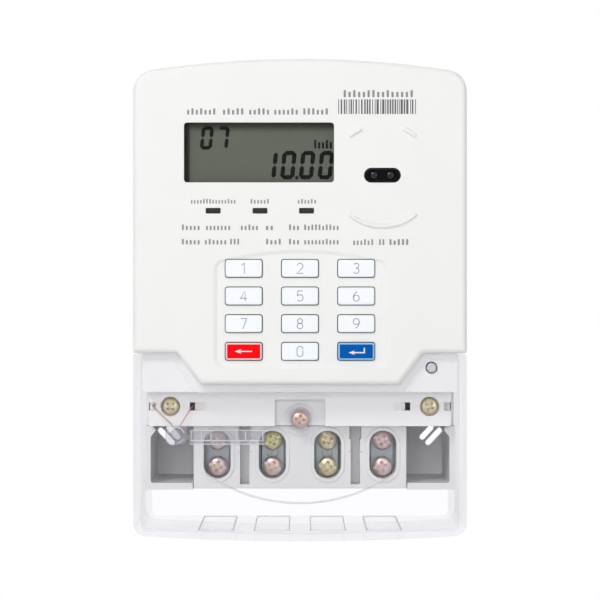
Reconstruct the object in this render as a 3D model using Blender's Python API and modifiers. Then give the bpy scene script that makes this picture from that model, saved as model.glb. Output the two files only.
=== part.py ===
"""Single-phase prepaid electricity meter for wall mounting.

Metres, +Z up. The front faces -Y, the wall plane is y = 0, and the origin is the centre of the back face.
The case is a rear case and a front cover, with a clear cover over the terminals at the bottom.
"""

import math

import bmesh
import bpy
from mathutils import Matrix, Vector

# Clearance between parts that touch, and the overlap of shapes that are joined into one part.
GAP = 0.0003
OVERLAP = 0.0005

# Case outline, seen from the front.
HALF_WIDTH = 0.056
TOP_Z = 0.081
BOTTOM_Z = -0.081
CROWN_RADIUS = 0.345
CORNER_RADIUS = 0.0075
WALL = 0.0022
STEP_Z = -0.0178  # below this height the case is narrower, inside the terminal cover
LOWER_HALF_WIDTH = 0.0533
CASE_BOTTOM_Z = -0.0652

# Depths of the case, from the wall towards the front.
RIM_Y = -0.034
GASKET_HEIGHT = 0.0012
GASKET_INSET = 0.0013
GASKET_SEAT_INSET = 0.001
GASKET_END_Z = -0.040
BAR_Y = -0.046
SHOULDER_Y = -0.054
FACE_Y = -0.0585
FACE_BACK_Y = FACE_Y + 0.0024
REBATE_Y = -0.0573

# Lower edge of the front face, where the terminal cover fits around it.
NOTCH_X = 0.0414
TONGUE_X = 0.0333
TONGUE_Z = -0.0284

# Shoulders under the notch, and the flange bar with the case screws.
SHOULDER_HALF_WIDTH = 0.053
SHOULDER_INNER_X = 0.0508
BAR_HALF_WIDTH = 0.0515
BAR_INNER_X = 0.0493
BAR_TOP_Z = -0.031
BAR_BOTTOM_Z = -0.043
CASE_SCREW = (0.0442, -0.0363)
CASE_SCREW_SEAT_Y = -0.0435
BOSS_RADIUS = 0.004
CASE_SCREW_HOLE_RADIUS = 0.0017
COVER_SCREW_Z = -0.0407
COVER_SCREW_HOLE_RADIUS = 0.0018
RECESS_HALF_WIDTH = 0.0086
RECESS_WALL = 0.002
RECESS_TOP_Z = -0.0339
RECESS_FLOOR_Y = -0.042
SEAL_SLOT_Z = (-0.0377, -0.0349)
OUTER_SEAL_SLOT_X = (0.0491, 0.0530)
INNER_SEAL_SLOT_X = (0.0327, 0.0392)

# Terminal block, its wells and tunnels.
BLOCK_HALF_WIDTH = 0.0366
BLOCK_TOP_Z = -0.0433
BLOCK_BOTTOM_Z = -0.0648
BLOCK_Y = -0.040
BLOCK_BACK_Y = -0.0025
LEDGE_Z = (-0.0438, -0.0413)
SCREW_TONGUE_HALF_WIDTH = 0.006
SCREW_TONGUE_TOP_Z = -0.0365
SCREW_TONGUE_BACK_Y = -0.018
WELL_XS = (-0.0285, -0.0095, 0.0095, 0.0285)
WELL_Z = -0.0532
WELL_WIDTH = 0.00935
WELL_HEIGHT = 0.0166
WELL_RIM = 0.0013
SCREW_ZS = (-0.0485, -0.0575)
WELL_RIM_HEIGHT = 0.0004
TUNNEL_Y = -0.020
TUNNEL_RADIUS = 0.004
BARRIER_X = 0.019
BARRIER_HALF_WIDTHS = (0.0016, 0.00205)  # the lower, narrower stretch and the upper one
BARRIER_ZS = (-0.0634, -0.0478, -0.0425)
BARRIER_FLOOR_Y = -0.0325
TERMINAL_FRONT_Y = -0.0285
TERMINAL_BACK_Y = -0.014
TERMINAL_HALF_WIDTH = 0.0052
TERMINAL_Z = (-0.0622, -0.0448)
SCREW_THREAD_RADIUS = 0.0026
BLADE_THICKNESS = 0.0022
BLADE_HALF_WIDTH = 0.003
BLADE_TOP_Z = -0.033
TERMINAL_SCREW_SEAT_Y = -0.034

# Side pockets beside the terminal block.
POCKET_X = (0.0366, 0.0514)
POCKET_Z = (-0.0629, -0.0433)
POCKET_STEP_X = 0.0497
POCKET_STEP_Z = (-0.047, -0.045)

# Wall mounting: slanted slots in the pockets, and the sliding hanger in its channel.
SLOT_LEAN = math.radians(43)
SLOT_WIDTH = 0.0021
SLOTS = (((0.0436, -0.0503), 0.0065), ((0.0457, -0.0523), 0.0080))  # foot and length
CHANNEL_Z = (0.042, 0.083)
CHANNEL_HALF_WIDTH = 0.0103
CHANNEL_LIP_HALF_WIDTH = 0.0085
CHANNEL_Y = (-0.0007, -0.0023)
CHANNEL_LIP_Y = -0.0015
HANGER_PAD_HALF_WIDTH = 0.013
HANGER_PAD_Z = (0.038, 0.0795)
HANGER_PAD_Y = -0.0048
HANGER_Y = (-0.001, -0.002)
HANGER_CENTRE_Z = 0.0625
HANGER_SIZE = (0.020, 0.0335)
HANGER_EYE_Z = 0.0735
HANGER_EYE_RADIUS = 0.0025

# Clear terminal cover.
COVER_Y = -0.058
COVER_WALL = 0.0022
COVER_RIM = 0.0024
COVER_TAB_TOP_Z = -0.0181
COVER_TAB_X = 0.0417
COVER_DIP = (0.0336, -0.0287)
COVER_BACK_Y = -0.001
COVER_INNER_HALF_WIDTH = 0.0536
COVER_FLOOR_Z = -0.0781
COVER_BOTTOM_RADIUS = 0.80
COVER_CORNER_RADIUS = 0.0045
SCREW_WELL_RADIUS = 0.0054
SCREW_WELL_BORE = 0.004
SCREW_WELL_FLOOR = 0.0015
SCREW_WELL_BACK_Y = -0.0423
WASHER_THICKNESS = 0.0008
KNOCK_OUT_HALF_WIDTH = 0.0053
KNOCK_OUT_Y = (-0.002, -0.046)
KNOCK_OUT_DEPTH = 0.0008

# Display, optical port and signal lamps.
WINDOW_CENTRE = (-0.01375, 0.04945)
WINDOW_SIZE = (0.0503, 0.0201)
WINDOW_THICKNESS = 0.0015
PANEL_SIZE = (0.054, 0.025)
PANEL_Y = (-0.0550, -0.0523)
HOLDER_SIZE = (0.055, 0.026)
PORT_CENTRE = (0.0276, 0.0418)
PORT_SIZE = (0.0124, 0.0050)
PORT_SPACING = 0.0065
PORT_PLATE_RADII = (0.0135, 0.009)
PORT_PLATE_THICKNESS = 0.0012
RIDGE_RADIUS = 0.0171
RIDGE_WIDTH = 0.0015
RIDGE_HEIGHT = 0.0008
LAMP_XS = (-0.0291, -0.0134, 0.0022)
LAMP_Z = 0.0299
LAMP_SIZE = (0.0050, 0.0019)

# Keypad: the caps stand in a shallow recess, in a grid of three columns and four rows.
KEY_PITCH_X = 0.01885
KEY_PITCH_Z = 0.00927
KEY_TOP_Z = 0.0106
KEY_SIZE = (0.0122, 0.0058)
KEY_FRONT_Y = -0.059
KEY_TRAVEL = 0.0012
KEY_NAMES = ("1", "2", "3", "4", "5", "6", "7", "8", "9", "backspace", "0", "enter")
KEY_FLANGE = (0.002, 0.0018)
KEY_FLANGE_THICKNESS = 0.0008
KEY_PLUNGER_RADIUS = 0.002
KEYPAD_FLOOR_Y = -0.0578
KEYPAD_HALF_WIDTH = 0.0294
KEYPAD_BOTTOM_Z = -0.0232
KEYPAD_SIDE_TOP_Z = 0.0141
KEYPAD_CROWN_Z = 0.0170
KEYPAD_CORNER_RADIUS = 0.004
MAT_CENTRE = (0, -0.0033)
MAT_SIZE = (0.062, 0.042)
MAT_SHEET = 0.0012
MAT_PAD_HEIGHT = 0.0022
MAT_PAD_RADIUS = 0.0038

# Main board.
BOARD_BACK_Y = -0.0454
BOARD_FRONT_Y = -0.047
BOARD_HALF_WIDTH = 0.050
BOARD_Z = (-0.027, 0.074)
BOARD_POSTS = ((-0.047, 0.068), (0.047, 0.068), (-0.047, -0.009), (0.047, -0.009))
POST_RADIUS = 0.003
PIN_RADIUS = 0.0012
TAMPER_CENTRE = (0.0443, -0.0228)
TAMPER_SWITCH_HALF = 0.003
TAMPER_SWITCH_HEIGHT = 0.002

# Copper bars between the terminal blades and the relay.
RELAY_BOTTOM_Z = -0.018
BUSBAR_THICKNESS = 0.0022
BUSBAR_HALF_WIDTH = 0.0026
BUSBAR_BOTTOM_Z = -0.0405
NEUTRAL_Z = (-0.0266, -0.0214)

# Sealing body, its flag and its neck, on the left.
SEAL_CENTRE = (-0.0420, -0.0460)
SEAL_SIZE = (0.0072, 0.0064)
SEAL_Y = (-0.0472, -0.0504)
FLAG_CENTRE = (-0.0247, -0.0466)
FLAG_SIZE = (0.0256, 0.0052)
FLAG_Y = (-0.0484, -0.0494)
SEAL_WIRE_RADIUS = 0.00025

PARTS = "prepaid_meter"
CUTTERS = "prepaid_meter_cutters"

WHITE = (0.90, 0.90, 0.89)
PALE_GREY = (0.78, 0.79, 0.79)
CLEAR = (0.92, 0.95, 0.96)
BLACK = (0.03, 0.03, 0.035)
COPPER = (0.72, 0.42, 0.28)
STEEL = (0.62, 0.63, 0.64)
YELLOW_ZINC = (0.80, 0.68, 0.36)


def start_scene():
    """Empties the scene and makes the two collections."""
    for old in list(bpy.data.objects):
        bpy.data.objects.remove(old, do_unlink=True)
    for name in (PARTS, CUTTERS):
        collection = bpy.data.collections.new(name)
        bpy.context.scene.collection.children.link(collection)


def add_object(name, mesh):
    """Puts a shape in the cutters' collection, where it stays unless it becomes a part."""
    shape = bpy.data.objects.new(name, mesh)
    shape.hide_render = True
    shape.display_type = "WIRE"
    bpy.data.collections[CUTTERS].objects.link(shape)
    return shape


def make_part(shape, name, color, roughness=0.5, metallic=0.0):
    """Turns a shape into a named part with its own material."""
    material = bpy.data.materials.new(name)
    material.use_nodes = True
    surface = material.node_tree.nodes["Principled BSDF"]
    surface.inputs["Base Color"].default_value = (*color, 1.0)
    surface.inputs["Roughness"].default_value = roughness
    surface.inputs["Metallic"].default_value = metallic
    shape.name = name
    shape.data.name = name
    shape.data.materials.clear()
    shape.data.materials.append(material)
    shape.hide_render = False
    shape.display_type = "TEXTURED"
    bpy.data.collections[CUTTERS].objects.unlink(shape)
    bpy.data.collections[PARTS].objects.link(shape)
    return shape


def evaluated_mesh(shape):
    """The shape's mesh with its modifiers applied, welded and in its object's own space."""
    bpy.context.view_layer.update()
    source = shape.evaluated_get(bpy.context.evaluated_depsgraph_get())
    mesh = bpy.data.meshes.new_from_object(source)
    work = bmesh.new()
    work.from_mesh(mesh)
    bmesh.ops.remove_doubles(work, verts=work.verts, dist=1e-6)
    bmesh.ops.recalc_face_normals(work, faces=work.faces)
    work.to_mesh(mesh)
    work.free()
    return mesh


def arc(centre, radius, start, end, steps):
    """Points about a centre in the XZ plane, from one angle in radians to another."""
    turn = (end - start) / steps
    return [
        (
            centre[0] + radius * math.cos(start + i * turn),
            centre[1] + radius * math.sin(start + i * turn),
        )
        for i in range(steps + 1)
    ]


def circle(centre, radius, steps=20):
    return arc(centre, radius, 0, math.tau, steps)[:-1]


def rounded(centre, size, radius, steps=3):
    """A rectangle with round corners. A radius of half its width makes round ends."""
    points = []
    for quarter, (side, up) in enumerate(((1, 1), (-1, 1), (-1, -1), (1, -1))):
        corner = (
            centre[0] + side * (size[0] / 2 - radius),
            centre[1] + up * (size[1] / 2 - radius),
        )
        start = quarter * math.pi / 2
        points += arc(corner, radius, start, start + math.pi / 2, steps)
    return points


def rectangle(x_from, x_to, z_from, z_to):
    return [(x_from, z_from), (x_to, z_from), (x_to, z_to), (x_from, z_to)]


def arc_band(centre, radius, width, start, end, steps):
    """A curved strip of one width about a centre."""
    outer = arc(centre, radius + width / 2, start, end, steps)
    inner = arc(centre, radius - width / 2, end, start, steps)
    return outer + inner


def cross(centre, span, width):
    """Outline of a cross recess."""
    a = span / 2
    b = width / 2
    corner = [(b, a), (b, b), (a, b)]
    points = []
    for turns in range(4):
        angle = -turns * math.pi / 2
        for x, z in corner:
            points.append(
                (
                    centre[0] + x * math.cos(angle) - z * math.sin(angle),
                    centre[1] + x * math.sin(angle) + z * math.cos(angle),
                )
            )
    return points


def mirrored(points):
    """The same outline points on the other side of x = 0, in reverse order."""
    return [(-x, z) for x, z in reversed(points)]


def both_sides(outline):
    """An outline and its mirror image, as two outlines."""
    return [outline, mirrored(outline)]


def crown(inset):
    """Points of the case's arched top, from the right side to the left, at an inset from the outside."""
    arc_centre = (0, TOP_Z - CROWN_RADIUS)
    corner_x = HALF_WIDTH - CORNER_RADIUS
    rise = math.sqrt((CROWN_RADIUS - CORNER_RADIUS) ** 2 - corner_x**2)
    corner = (corner_x, arc_centre[1] + rise)
    lean = math.atan2(rise, corner_x)
    right = arc(corner, CORNER_RADIUS - inset, 0, lean, 5)
    middle = arc(arc_centre, CROWN_RADIUS - inset, lean, math.pi - lean, 10)[1:-1]
    return right + middle + mirrored(right)


def without_repeats(outline):
    """The outline with no point on top of the one before it."""
    return [
        point for i, point in enumerate(outline) if math.dist(point, outline[i - 1]) > 1e-6
    ]


def prism(name, outlines, y_from, y_to, holed=False):
    """A solid between two depths. An outline that lies inside another one is a hole."""
    curve = bpy.data.curves.new(name, "CURVE")
    curve.dimensions = "2D"
    curve.fill_mode = "BOTH"
    curve.extrude = abs(y_to - y_from) / 2
    for outline in outlines:
        points = without_repeats(outline)
        spline = curve.splines.new("POLY")
        spline.points.add(len(points) - 1)
        spline.use_cyclic_u = True
        for point, (x, z) in zip(spline.points, points):
            point.co = (x, z, 0, 1)
    flat = add_object(name, curve)
    mesh = evaluated_mesh(flat)
    bpy.data.objects.remove(flat)
    stand_up = Matrix.Rotation(math.pi / 2, 4, "X")
    mesh.transform(Matrix.Translation((0, (y_from + y_to) / 2, 0)) @ stand_up)
    snap(mesh)
    if not holed:
        merge_caps(mesh)
    return add_object(name, mesh)


def merge_caps(mesh):
    """Makes each end of a prism without holes one face, which cuts and joins cleanly."""
    work = bmesh.new()
    work.from_mesh(mesh)
    caps = [
        face
        for face in work.faces
        if max(v.co.y for v in face.verts) - min(v.co.y for v in face.verts) < 1e-7
    ]
    bmesh.ops.dissolve_faces(work, faces=caps)
    bmesh.ops.recalc_face_normals(work, faces=work.faces)
    work.to_mesh(mesh)
    work.free()


def snap(mesh):
    """Rounds the coordinates to 0.1 micron, so that faces meant to be in one plane are."""
    for vertex in mesh.vertices:
        vertex.co = [round(value, 7) for value in vertex.co]


def boxes(name, ranges):
    """Boxes that stand clear of each other, each between two values along X, Y and Z."""
    work = bmesh.new()
    for spans in ranges:
        size = [abs(to - start) for start, to in spans]
        middle = [(start + to) / 2 for start, to in spans]
        place = Matrix.Translation(middle) @ Matrix.Diagonal((*size, 1))
        bmesh.ops.create_cube(work, size=1, matrix=place)
    return shape_from(work, name)


def box(name, x, y, z):
    return boxes(name, [(x, y, z)])


def cylinder(name, centre, radius, length, axis, segments=20):
    """A cylinder about its centre along X, Y or Z."""
    work = bmesh.new()
    bmesh.ops.create_cone(
        work,
        cap_ends=True,
        segments=segments,
        radius1=radius,
        radius2=radius,
        depth=length,
    )
    turn = Vector((0, 0, 1)).rotation_difference(Vector(axis)).to_matrix().to_4x4()
    work.transform(Matrix.Translation(centre) @ turn)
    return shape_from(work, name)


def shape_from(work, name):
    mesh = bpy.data.meshes.new(name)
    work.to_mesh(mesh)
    work.free()
    snap(mesh)
    return add_object(name, mesh)


def turned(name, profile, location, steps=20):
    """A turned piece about the Y axis. The profile runs from the front end to the back end as
    (radius, distance in front of the location)."""
    mesh = bpy.data.meshes.new(name)
    points = [(radius, 0, ahead) for radius, ahead in profile]
    mesh.from_pydata(points, [(i, i + 1) for i in range(len(points) - 1)], [])
    shape = add_object(name, mesh)
    screw = shape.modifiers.new("Turned", "SCREW")
    screw.steps = steps
    screw.render_steps = steps
    screw.use_merge_vertices = True
    screw.merge_threshold = 1e-6
    screw.use_normal_calculate = True
    solid = evaluated_mesh(shape)
    bpy.data.objects.remove(shape)
    solid.transform(Matrix.Rotation(math.pi / 2, 4, "X"))
    snap(solid)
    piece = add_object(name, solid)
    piece.location = location
    return piece


def combine(shape, operation, *others):
    """Adds one Boolean for each other shape. The operation is UNION or DIFFERENCE."""
    for other in others:
        boolean = shape.modifiers.new(other.name, "BOOLEAN")
        boolean.operation = operation
        boolean.solver = "EXACT"
        boolean.object = other
    return shape


def round_front(shape, y, width, segments):
    """Rounds the edges that lie in one front plane."""
    weights = shape.data.attributes.new("bevel_weight_edge", "FLOAT", "EDGE")
    for edge in shape.data.edges:
        ends = [shape.data.vertices[i].co.y for i in edge.vertices]
        if max(abs(end - y) for end in ends) < 1e-6:
            weights.data[edge.index].value = 1.0
    bevel = shape.modifiers.new("Front edge", "BEVEL")
    bevel.limit_method = "WEIGHT"
    bevel.width = width
    bevel.segments = segments


def set_origin(shape, location):
    """Moves the object's origin without moving the shape."""
    shape.data.transform(Matrix.Translation(-Vector(location)))
    shape.location = location


def smooth(shape, degrees=35):
    shape.data.shade_smooth()
    shape.data.set_sharp_from_angle(angle=math.radians(degrees))


def compartment(inset, bottom_z):
    """Right half of the electronics compartment: the stepped side, from below up to the crown."""
    return [
        (LOWER_HALF_WIDTH - inset, bottom_z),
        (LOWER_HALF_WIDTH - inset, STEP_Z + inset),
        (HALF_WIDTH - inset, STEP_Z + inset),
    ]


def rear_case():
    """Rear case: compartment for the electronics above, terminal seat and side pockets below."""
    side = compartment(0, CASE_BOTTOM_Z)
    case = prism("rear_shell", [side + crown(0) + mirrored(side)], 0, RIM_Y)
    pocket_walls = rectangle(POCKET_X[0], LOWER_HALF_WIDTH, CASE_BOTTOM_Z, BLOCK_TOP_Z)
    combine(
        case,
        "UNION",
        prism("pocket_walls", both_sides(pocket_walls), RIM_Y + OVERLAP, BLOCK_Y),
    )
    seat_x = BLOCK_HALF_WIDTH + GAP
    hollow_side = [
        (seat_x, CASE_BOTTOM_Z - 0.001),
        (seat_x, POCKET_Z[0]),
        (POCKET_X[1], POCKET_Z[0]),
        (POCKET_X[1], POCKET_STEP_Z[0]),
        (POCKET_STEP_X, POCKET_STEP_Z[1]),
        (POCKET_STEP_X, POCKET_Z[1]),
        (seat_x, POCKET_Z[1]),
        (seat_x, BAR_BOTTOM_Z + 0.002),
    ] + compartment(WALL, BAR_BOTTOM_Z + 0.002)
    hollow = [hollow_side + crown(WALL) + mirrored(hollow_side)]
    gasket_side = compartment(GASKET_SEAT_INSET, BAR_BOTTOM_Z + 0.0015)
    gasket_seat = [gasket_side + crown(GASKET_SEAT_INSET) + mirrored(gasket_side)]
    combine(
        case,
        "DIFFERENCE",
        prism("rear_hollow", hollow, -WALL, BLOCK_Y - 0.001),
        prism("gasket_seat", gasket_seat, RIM_Y + 0.0015, RIM_Y - 0.0005),
    )
    bosses = both_sides(circle(CASE_SCREW, BOSS_RADIUS))
    pad_half = HANGER_PAD_HALF_WIDTH
    combine(
        case,
        "UNION",
        prism("screw_bosses", bosses, -WALL + OVERLAP, RIM_Y + 0.0005),
        box("hanger_pad", (-pad_half, pad_half), (-WALL + OVERLAP, HANGER_PAD_Y), HANGER_PAD_Z),
    )
    lips = [rectangle(-CHANNEL_LIP_HALF_WIDTH, CHANNEL_LIP_HALF_WIDTH, *CHANNEL_Z)]
    channel = [rectangle(-CHANNEL_HALF_WIDTH, CHANNEL_HALF_WIDTH, *CHANNEL_Z)]
    pilots = both_sides(circle(CASE_SCREW, CASE_SCREW_HOLE_RADIUS, 12))
    combine(
        case,
        "DIFFERENCE",
        prism("screw_pilots", pilots, -0.012, RIM_Y - 0.001),
        prism("hanger_lips", lips, 0.001, CHANNEL_LIP_Y),
        prism("hanger_channel", channel, *CHANNEL_Y),
        mounting_slots(),
    )
    return make_part(case, "rear_case", PALE_GREY, 0.5)


def mounting_slots():
    """Cutter for the slanted pairs of mounting slots through the back wall of the side pockets."""
    across, along = math.cos(SLOT_LEAN), math.sin(SLOT_LEAN)
    outlines = []
    for foot, length in SLOTS:
        straight = rounded((0, length / 2), (SLOT_WIDTH, length), SLOT_WIDTH / 2 - 1e-5)
        slanted = [
            (foot[0] + x * across + z * along, foot[1] - x * along + z * across) for x, z in straight
        ]
        outlines += both_sides(slanted)
    return prism("mounting_slots", outlines, 0.001, -WALL - 0.001)


def front_outline():
    """Outline of the raised front face with its notched lower edge."""
    side = [(TONGUE_X, TONGUE_Z), (NOTCH_X, STEP_Z), (HALF_WIDTH, STEP_Z)]
    return side + crown(0) + mirrored(side)


def front_hollow(name, lower_side, y_from, y_to):
    """Cutter for one depth of the front cover's hollow."""
    side = lower_side + [(HALF_WIDTH - WALL, STEP_Z + WALL)]
    return prism(name, [side + crown(WALL) + mirrored(side)], y_from, y_to)


def key_positions():
    """Name and centre of each key, row by row from the top left."""
    for index, label in enumerate(KEY_NAMES):
        row, column = divmod(index, 3)
        yield label, ((column - 1) * KEY_PITCH_X, KEY_TOP_Z - row * KEY_PITCH_Z)


def keypad_recess():
    """Cutter for the shallow recess around the keys, with its arched upper edge."""
    radius = KEYPAD_CORNER_RADIUS
    corner_x = KEYPAD_HALF_WIDTH - radius
    rise = KEYPAD_CROWN_Z - KEYPAD_SIDE_TOP_Z
    arch_radius = (corner_x**2 + rise**2) / (2 * rise)
    lean = math.asin(corner_x / arch_radius)
    quarter = math.pi / 2
    right = arc((corner_x, KEYPAD_BOTTOM_Z + radius), radius, -quarter, 0, 4)
    right += arc((corner_x, KEYPAD_SIDE_TOP_Z - radius), radius, 0, quarter, 4)
    arch = arc((0, KEYPAD_CROWN_Z - arch_radius), arch_radius, quarter - lean, quarter + lean, 8)
    outline = right + arch[1:-1] + mirrored(right)
    return prism("keypad_recess", [outline], FACE_Y - 0.001, KEYPAD_FLOOR_Y)


def locating_ridges():
    """Raised ridges around the optical port, which centre a reading head."""
    down, up = -math.pi / 2, math.pi / 2
    spans = ((down - 0.72, down + 0.72, 12), (up + 0.42, up + 0.70, 3), (up - 0.70, up - 0.42, 3))
    ridges = [arc_band(PORT_CENTRE, RIDGE_RADIUS, RIDGE_WIDTH, *span) for span in spans]
    return prism("locating_ridges", ridges, FACE_Y - RIDGE_HEIGHT, FACE_Y + OVERLAP)


def front_cover():
    """Front cover: face with display window, port, lamps and keypad, shoulders and flange bar."""
    back_y = RIM_Y - GAP
    cover = prism("front_shell", [front_outline()], back_y, FACE_Y)
    round_front(cover, FACE_Y, 0.0018, 2)
    shoulder_half = SHOULDER_HALF_WIDTH
    shoulder = [rectangle(-shoulder_half, shoulder_half, BAR_TOP_Z, STEP_Z + 0.001)]
    bar = [rectangle(-BAR_HALF_WIDTH, BAR_HALF_WIDTH, BAR_BOTTOM_Z, BAR_TOP_Z + OVERLAP)]
    combine(
        cover,
        "UNION",
        prism("shoulders", shoulder, back_y, SHOULDER_Y),
        prism("flange_bar", bar, back_y, BAR_Y),
    )
    side_inner = [(SHOULDER_INNER_X, STEP_Z + WALL)]
    bar_inner = [
        (BAR_INNER_X, BAR_BOTTOM_Z + 0.002),
        (BAR_INNER_X, BAR_TOP_Z),
        (SHOULDER_INNER_X, BAR_TOP_Z),
    ]
    shoulder_inner = [(SHOULDER_INNER_X, BAR_TOP_Z + WALL)]
    face_inner = [(TONGUE_X - 0.001, TONGUE_Z + WALL), (NOTCH_X - 0.001, STEP_Z + WALL)]
    combine(
        cover,
        "DIFFERENCE",
        front_hollow("bar_hollow", bar_inner + side_inner, back_y + 0.001, BAR_Y + WALL),
        front_hollow(
            "shoulder_hollow",
            shoulder_inner + side_inner,
            BAR_Y + WALL + OVERLAP,
            SHOULDER_Y + WALL,
        ),
        front_hollow("face_hollow", face_inner, SHOULDER_Y + WALL + OVERLAP, FACE_BACK_Y),
    )
    bosses = both_sides(circle(CASE_SCREW, BOSS_RADIUS, 16))
    wall_x = RECESS_HALF_WIDTH + RECESS_WALL
    recess_walls = [rectangle(-wall_x, wall_x, BAR_BOTTOM_Z, RECESS_TOP_Z + RECESS_WALL - 1e-4)]
    posts = [circle(centre, POST_RADIUS, 12) for centre in BOARD_POSTS]
    pins = [circle(centre, PIN_RADIUS, 12) for centre in BOARD_POSTS]
    combine(
        cover,
        "UNION",
        prism("cover_bosses", bosses, back_y, BAR_Y + 0.001),
        prism("recess_walls", recess_walls, back_y, BAR_Y + 0.001),
        prism("board_posts", posts, BOARD_FRONT_Y - GAP, FACE_BACK_Y - OVERLAP),
        prism("board_pins", pins, BOARD_BACK_Y + 0.001, BOARD_FRONT_Y - 0.001),
        locating_ridges(),
    )
    outer_slot = rectangle(*OUTER_SEAL_SLOT_X, *SEAL_SLOT_Z)
    inner_slot = rectangle(*INNER_SEAL_SLOT_X, *SEAL_SLOT_Z)
    screw_recess = [
        rectangle(-RECESS_HALF_WIDTH, RECESS_HALF_WIDTH, BAR_BOTTOM_Z - 0.001, RECESS_TOP_Z)
    ]
    port_rebate = (PORT_SIZE[0] + 0.0016, PORT_SIZE[1] + 0.0016)
    window_rebate = (WINDOW_SIZE[0] + 0.0022, WINDOW_SIZE[1] + 0.0022)
    apertures = [
        rounded(WINDOW_CENTRE, WINDOW_SIZE, 0.001),
        rounded(PORT_CENTRE, PORT_SIZE, PORT_SIZE[1] / 2, 6),
    ]
    apertures += [rounded((x, LAMP_Z), LAMP_SIZE, 0.0002, 1) for x in LAMP_XS]
    rebates = [
        rounded(WINDOW_CENTRE, window_rebate, 0.001, 1),
        rounded(PORT_CENTRE, port_rebate, port_rebate[1] / 2, 4),
    ]
    key_holes = [
        rounded(centre, (KEY_SIZE[0] + 2 * GAP, KEY_SIZE[1] + 2 * GAP), 0.0009, 1)
        for _, centre in key_positions()
    ]
    deep = BAR_Y - 0.001
    screw_holes = both_sides(circle(CASE_SCREW, CASE_SCREW_HOLE_RADIUS, 12))
    cover_screw_hole = [circle((0, COVER_SCREW_Z), COVER_SCREW_HOLE_RADIUS, 12)]
    combine(
        cover,
        "DIFFERENCE",
        prism("screw_seats", both_sides(circle(CASE_SCREW, 0.00335)), CASE_SCREW_SEAT_Y, deep),
        prism("screw_holes", screw_holes, back_y + 0.001, deep),
        prism("screw_recess", screw_recess, RECESS_FLOOR_Y, deep),
        prism("cover_screw_hole", cover_screw_hole, back_y + 0.001, deep),
        prism("outer_seal_slots", both_sides(outer_slot), -0.040, deep),
        prism("inner_seal_slots", both_sides(inner_slot), -0.0425, deep),
        prism("plunger_hole", [circle(TAMPER_CENTRE, 0.0019, 16)], -0.051, SHOULDER_Y - 0.001),
        keypad_recess(),
        prism("apertures", apertures, FACE_Y - 0.001, FACE_BACK_Y + 0.001),
        prism("rebates", rebates, REBATE_Y, FACE_BACK_Y + 0.0008),
        prism("key_holes", key_holes, KEYPAD_FLOOR_Y - 0.001, FACE_BACK_Y + 0.0006),
    )
    return make_part(cover, "front_cover", WHITE, 0.35)


def cover_edge(inset):
    """Outline of the clear cover's front: two tabs, the dip between them and the curved bottom."""
    corner_x = HALF_WIDTH - COVER_CORNER_RADIUS
    arc_centre = (0, BOTTOM_Z + COVER_BOTTOM_RADIUS)
    drop = math.sqrt((COVER_BOTTOM_RADIUS - COVER_CORNER_RADIUS) ** 2 - corner_x**2)
    corner = (corner_x, arc_centre[1] - drop)
    lean = math.atan2(-drop, corner_x)
    bottom = arc(arc_centre, COVER_BOTTOM_RADIUS - inset, -math.pi - lean, lean, 8)[1:-1]
    right = arc(corner, COVER_CORNER_RADIUS - inset, lean, 0, 4)
    top = COVER_TAB_TOP_Z - inset
    right += [
        (HALF_WIDTH - inset, top),
        (COVER_TAB_X + 0.55 * inset, top),
        (COVER_DIP[0] + 0.45 * inset, COVER_DIP[1] - inset),
    ]
    return bottom + right + mirrored(right)


def terminal_cover():
    """Clear cover: front wall with two tabs, side walls, bottom wall and a sunk screw well."""
    cover = prism("cover_shell", [cover_edge(0)], COVER_BACK_Y, COVER_Y)
    inner = COVER_INNER_HALF_WIDTH
    open_top = [rectangle(-inner, inner, COVER_FLOOR_Z, 0)]
    rim_back_y = SHOULDER_Y - GAP
    combine(
        cover,
        "DIFFERENCE",
        prism("cover_hollow", open_top, COVER_BACK_Y + 0.001, rim_back_y),
        prism("cover_front_hollow", [cover_edge(COVER_RIM)], rim_back_y + 0.0002, COVER_Y + COVER_WALL),
    )
    centre = (0, COVER_SCREW_Z)
    well = [circle(centre, SCREW_WELL_RADIUS, 24)]
    combine(
        cover,
        "UNION",
        prism("screw_well", well, SCREW_WELL_BACK_Y, COVER_Y + 0.001),
    )
    well_floor_y = SCREW_WELL_BACK_Y - SCREW_WELL_FLOOR
    half = KNOCK_OUT_HALF_WIDTH
    knock_out_z = (COVER_FLOOR_Z - KNOCK_OUT_DEPTH, COVER_FLOOR_Z + 0.001)
    knock_outs = boxes("knock_outs", [((x - half, x + half), KNOCK_OUT_Y, knock_out_z) for x in WELL_XS])
    combine(
        cover,
        "DIFFERENCE",
        prism("well_bore", [circle(centre, SCREW_WELL_BORE)], well_floor_y, COVER_Y - 0.001),
        prism(
            "well_hole",
            [circle(centre, COVER_SCREW_HOLE_RADIUS, 12)],
            SCREW_WELL_BACK_Y + 0.001,
            SCREW_WELL_BACK_Y - 0.002,
        ),
        knock_outs,
    )
    make_part(cover, "terminal_cover", CLEAR, 0.08)
    set_origin(cover, (0, COVER_Y, COVER_SCREW_Z))


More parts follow.
